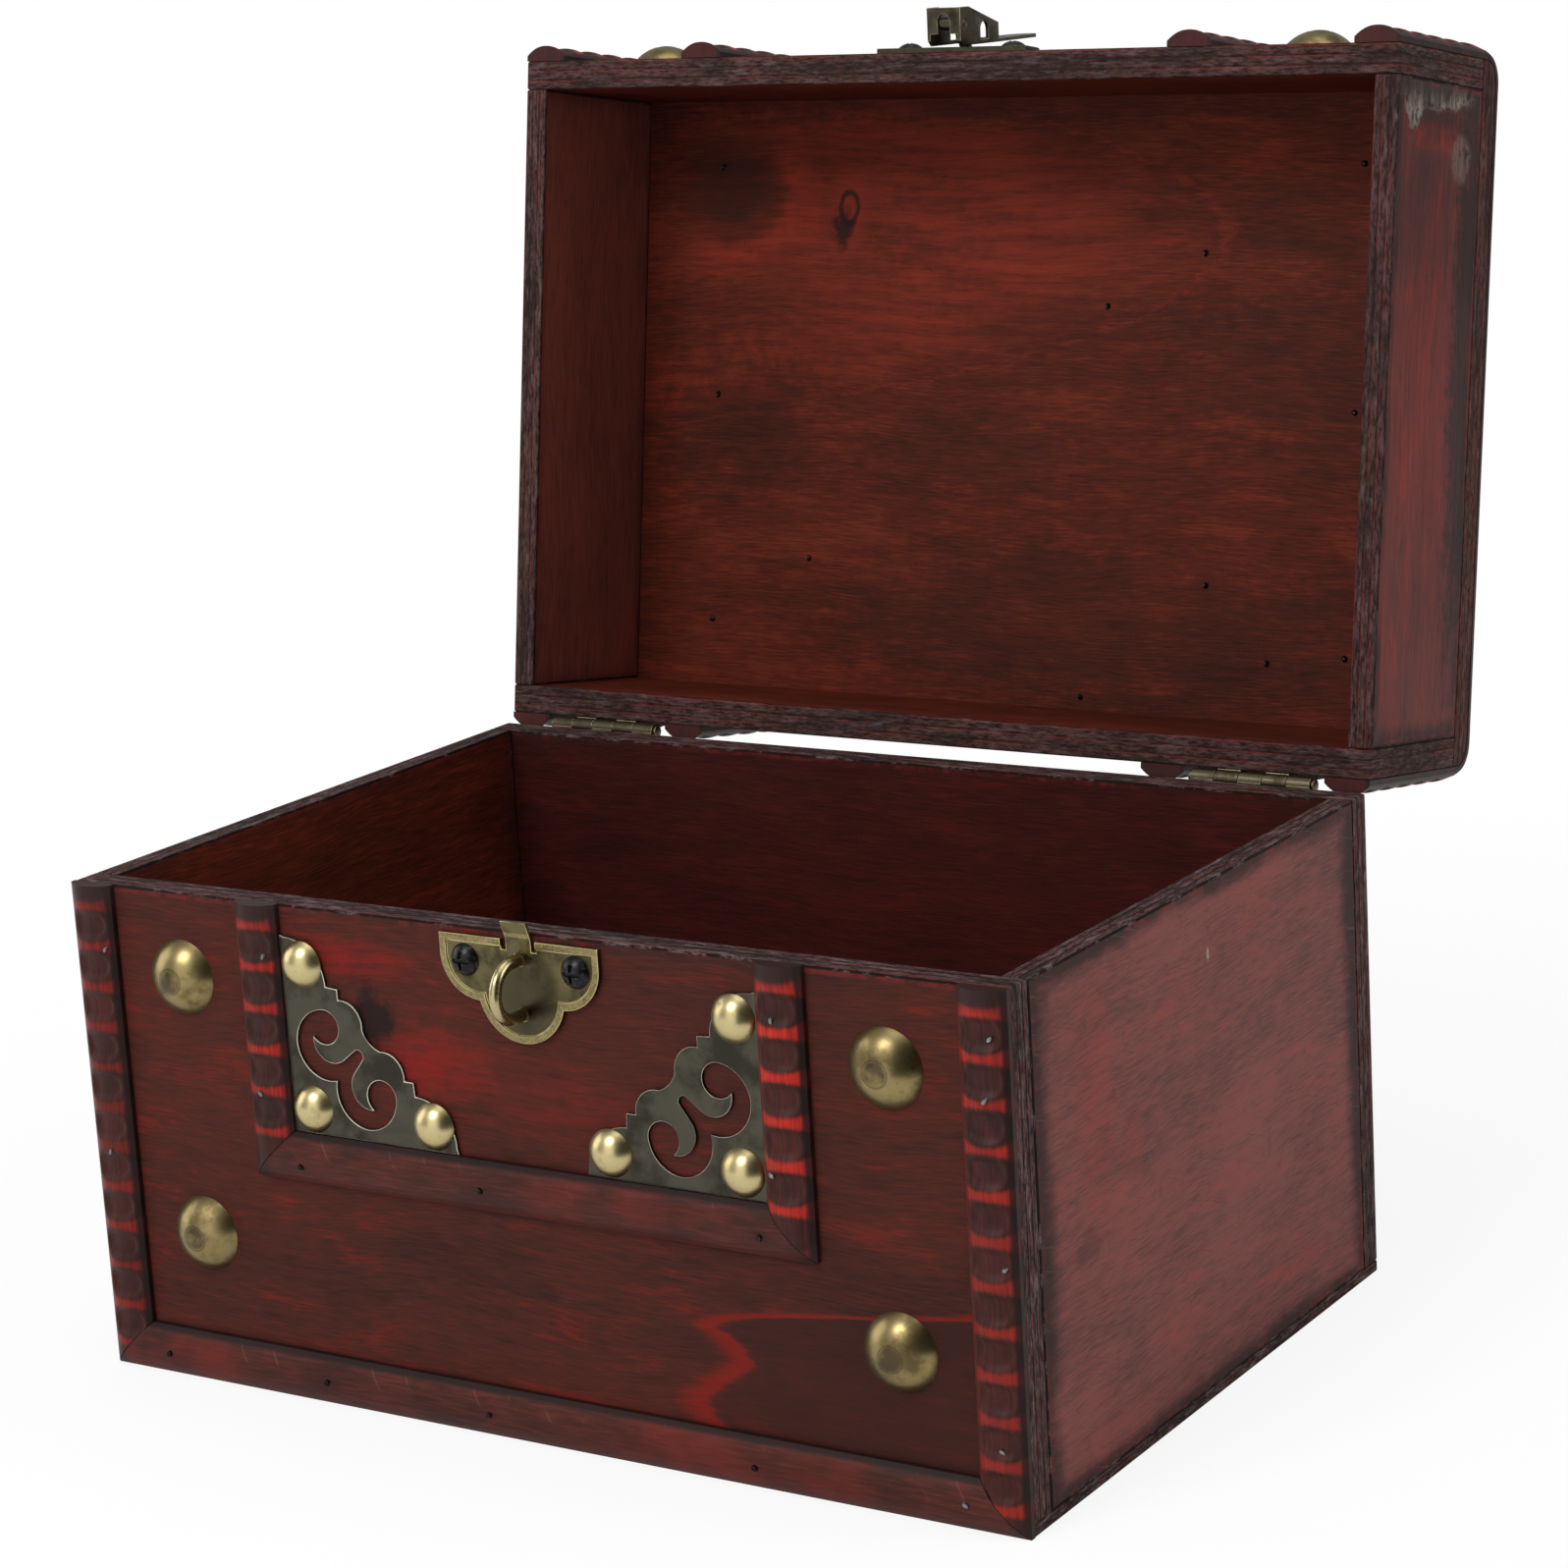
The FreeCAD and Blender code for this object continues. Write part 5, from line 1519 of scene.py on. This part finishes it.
@dataclass
class Metalwork:
    """The corner plates, latch, hinges and screws, with the rounding of their edges in millimetres."""

    plate_round: float = 0.3
    clover_round: float = 0.16
    wire_round: float = 0.1
    hasp_round: float = 0.15
    hinge_round: float = 0.12
    screw_round: float = 0.08

    def build(self) -> None:
        """Builds and dresses every fitting."""
        metals = (FILIGREE_BRONZE, KEEPER_BRASS, LATCH_BRASS, WIRE_BRASS, HINGE_BRASS, SCREW_STEEL)
        bronze, keeper, latch, wire, hinge, black = (metal.make() for metal in metals)
        base, lid, hasp = Body.BASE, Body.LID, Body.HASP
        rows = [
            ("left_corner_plate", base, "filigree_bronze", bronze, self.plate_round),
            ("right_corner_plate", base, "filigree_bronze", bronze, self.plate_round),
            ("keeper_plate", base, "latch_brass", keeper, self.clover_round),
            ("padlock_staple", base, "latch_brass", wire, self.wire_round),
            ("hasp_plate", lid, "latch_brass", latch, self.clover_round),
            ("hasp", hasp, "latch_brass", latch, self.hasp_round),
            ("hasp_pin", hasp, "latch_brass", latch, self.hasp_round),
            ("keeper_screws", base, "black_screw", black, self.screw_round),
            ("hasp_plate_screws", lid, "black_screw", black, self.screw_round),
        ]
        for side in ("left", "right"):
            for part, body in (("base_leaf", base), ("pin", base), ("lid_leaf", lid)):
                rows.append((f"{side}_hinge_{part}", body, "hinge_brass", hinge, self.hinge_round))
        for body in (base, lid):
            rows.append((f"{body.value}_hinge_screws", body, "hinge_brass", hinge, self.screw_round))
        for node, body, slot, finish, softness in rows:
            self.fit(node, body, slot, finish, softness * MM)

    def fit(self, node: str, body: Body, slot: str, finish: Material, softness: float) -> None:
        """Shows a CAD node with softened edges.

        Args:
            node: The node's name.
            body: The body that carries it.
            slot: The record's material slot.
            finish: Its metal.
            softness: The rounding of its edges, in metres.
        """
        copy = merged(node)
        soften(copy, softness)
        settle(f"{node}_metal", smooth_mesh(copy, node, METAL_SMOOTH), body, slot, finish, [node])


@dataclass(frozen=True)
class Lamp:
    """One soft lamp that looks at the box: its place and width in metres and its power in watts."""

    name: str
    place: tuple[float, float, float]
    width: float
    power: float

    def hang(self) -> None:
        """Hangs the lamp."""
        light = bpy.data.lights.new(self.name, "AREA")
        light.size = self.width
        light.energy = self.power
        lamp = bpy.data.objects.new(self.name, light)
        lamp.location = self.place
        lamp.rotation_euler = (LAMP_AIM - Vector(self.place)).to_track_quat("-Z", "Y").to_euler()
        bpy.context.scene.collection.objects.link(lamp)


FLOOR_GREY = (0.86, 0.86, 0.86)
FLOOR_WHITE = (0.9, 0.9, 0.9)
FELT_BLACK = (0.01, 0.01, 0.01)
FELT_GREY = (0.03, 0.03, 0.03)
LAMP_AIM = Vector((0, 0, 0.1))
LAMPS = (
    Lamp("key", (-0.24, -1.15, 1.25), 0.6, 13.0),
    Lamp("front", (-0.1, -1.7, 0.4), 1.3, 5.0),
    Lamp("left", (-1.3, -0.35, 0.5), 0.9, 5.0),
    Lamp("side", (1.35, 0.45, 0.9), 0.9, 8.0),
    Lamp("top", (0.1, 0.1, 1.8), 1.3, 8.0),
)


@dataclass
class Studio:
    """The white floor, the soft lamps and the camera."""

    azimuth: float = math.radians(32.95)
    elevation: float = math.radians(13.33)
    roll: float = math.radians(3.43)
    eye: tuple[float, float, float] = (0.4561, -0.6794, 0.3092)
    lens: float = 93.62
    sensor: float = 36.0
    sight: float = 100.0
    ambient: float = 0.42
    floor_reach: float = 20.0
    shadow: tuple[float, float] = (0.18, 0.55)
    veil: float = 0.85
    flag_corners: tuple[tuple[float, float], ...] = ((0.13, -0.36), (0.36, -0.1))
    flag_height: float = 0.42

    def build(self) -> None:
        """Sets the stage."""
        bpy.context.scene.view_settings.view_transform = "Standard"
        self.floor()
        self.flag()
        self.world()
        for lamp in LAMPS:
            lamp.hang()
        self.camera()

    def seen(self, tree: Tree) -> Term:
        """Tells the rays that see the backdrop itself from those that only bring light."""
        return tree.term("ShaderNodeLightPath", {}, "Is Camera Ray")

    def floor(self) -> None:
        """Lays a pale floor that keeps a soft shadow."""
        far = self.floor_reach
        corners = [(-far, -far, 0), (far, -far, 0), (far, far, 0), (-far, far, 0)]
        shader = Shader("pale_floor")
        place = shader.place(False)
        speckle = shader.noise(place, 40.0, 3.0)
        shader.finish(Base_Color=shader.mix(speckle, FLOOR_GREY, FLOOR_WHITE), Roughness=0.8)
        glow = shader.node("ShaderNodeEmission", {"Color": (1, 1, 1, 1), "Strength": 1.0})
        x, y, _ = shader.parts(place)
        out = shader.math("SQRT", x * x + y * y)
        share = self.seen(shader) * (shader.smooth(out, *self.shadow) * (1 - self.veil) + self.veil)
        pair = {0: share, 1: Term(shader, shader.surface.outputs[0]), 2: Term(shader, glow.outputs[0])}
        blended = shader.term("ShaderNodeMixShader", pair)
        output = next(node for node in shader.tree.nodes if node.type == "OUTPUT_MATERIAL")
        shader.feed(output.inputs["Surface"], blended)
        self.stand("floor", corners, shader.material)

    def flag(self) -> None:
        """Stands a dark card at the right front, which only the gloss mirrors."""
        (x, y), (far_x, far_y) = self.flag_corners
        top = self.flag_height
        corners = [(x, y, 0.0), (far_x, far_y, 0.0), (far_x, far_y, top), (x, y, top)]
        shader = Shader("flag_felt")
        weave = shader.mix(shader.noise(shader.place(False), 600.0, 3.0), FELT_BLACK, FELT_GREY)
        card = self.stand("flag", corners, shader.finish(Base_Color=weave, Roughness=0.9))
        for rays in ("camera", "diffuse", "shadow", "transmission"):
            setattr(card, f"visible_{rays}", False)

    def stand(self, name: str, corners: Places, finish: Material) -> Object:
        """Puts a flat piece of the stage into the scene.

        Args:
            name: The piece's name.
            corners: Its four corners.
            finish: Its material.

        Returns:
            The piece.
        """
        mesh = bpy.data.meshes.new(name)
        mesh.from_pydata(corners, [], [(0, 1, 2, 3)])
        mesh.materials.append(finish)
        piece = bpy.data.objects.new(name, mesh)
        bpy.context.scene.collection.objects.link(piece)
        return piece

    def world(self) -> None:
        """Gives an even white surround, softer as light than as backdrop."""
        world = bpy.data.worlds.new("white_room")
        world.use_nodes = True
        bpy.context.scene.world = world
        tree = Tree(world.node_tree)
        back = world.node_tree.nodes["Background"]
        back.inputs["Color"].default_value = (1, 1, 1, 1)
        tree.feed(back.inputs["Strength"], self.seen(tree) * (1 - self.ambient) + self.ambient)

    def camera(self) -> None:
        """Stands the camera where the box is seen from its right front corner."""
        lens = bpy.data.cameras.new("view")
        lens.lens = self.lens
        lens.sensor_width = self.sensor
        lens.clip_end = self.sight
        camera = bpy.data.objects.new("view", lens)
        turn = Matrix.Rotation(self.azimuth, 4, "Z") @ Matrix.Rotation(math.pi / 2 - self.elevation, 4, "X")
        camera.matrix_world = Matrix.Translation(self.eye) @ turn @ Matrix.Rotation(-self.roll, 4, "Z")
        bpy.context.scene.collection.objects.link(camera)
        bpy.context.scene.camera = camera


def main() -> None:
    """Builds the box's sub-assemblies in order."""
    logging.basicConfig(level=logging.INFO, format="%(name)s: %(message)s")
    Carcass().build()
    Mouldings().build()
    Studs().build()
    Metalwork().build()
    Studio().build()


if __name__ == "__main__":
    main()
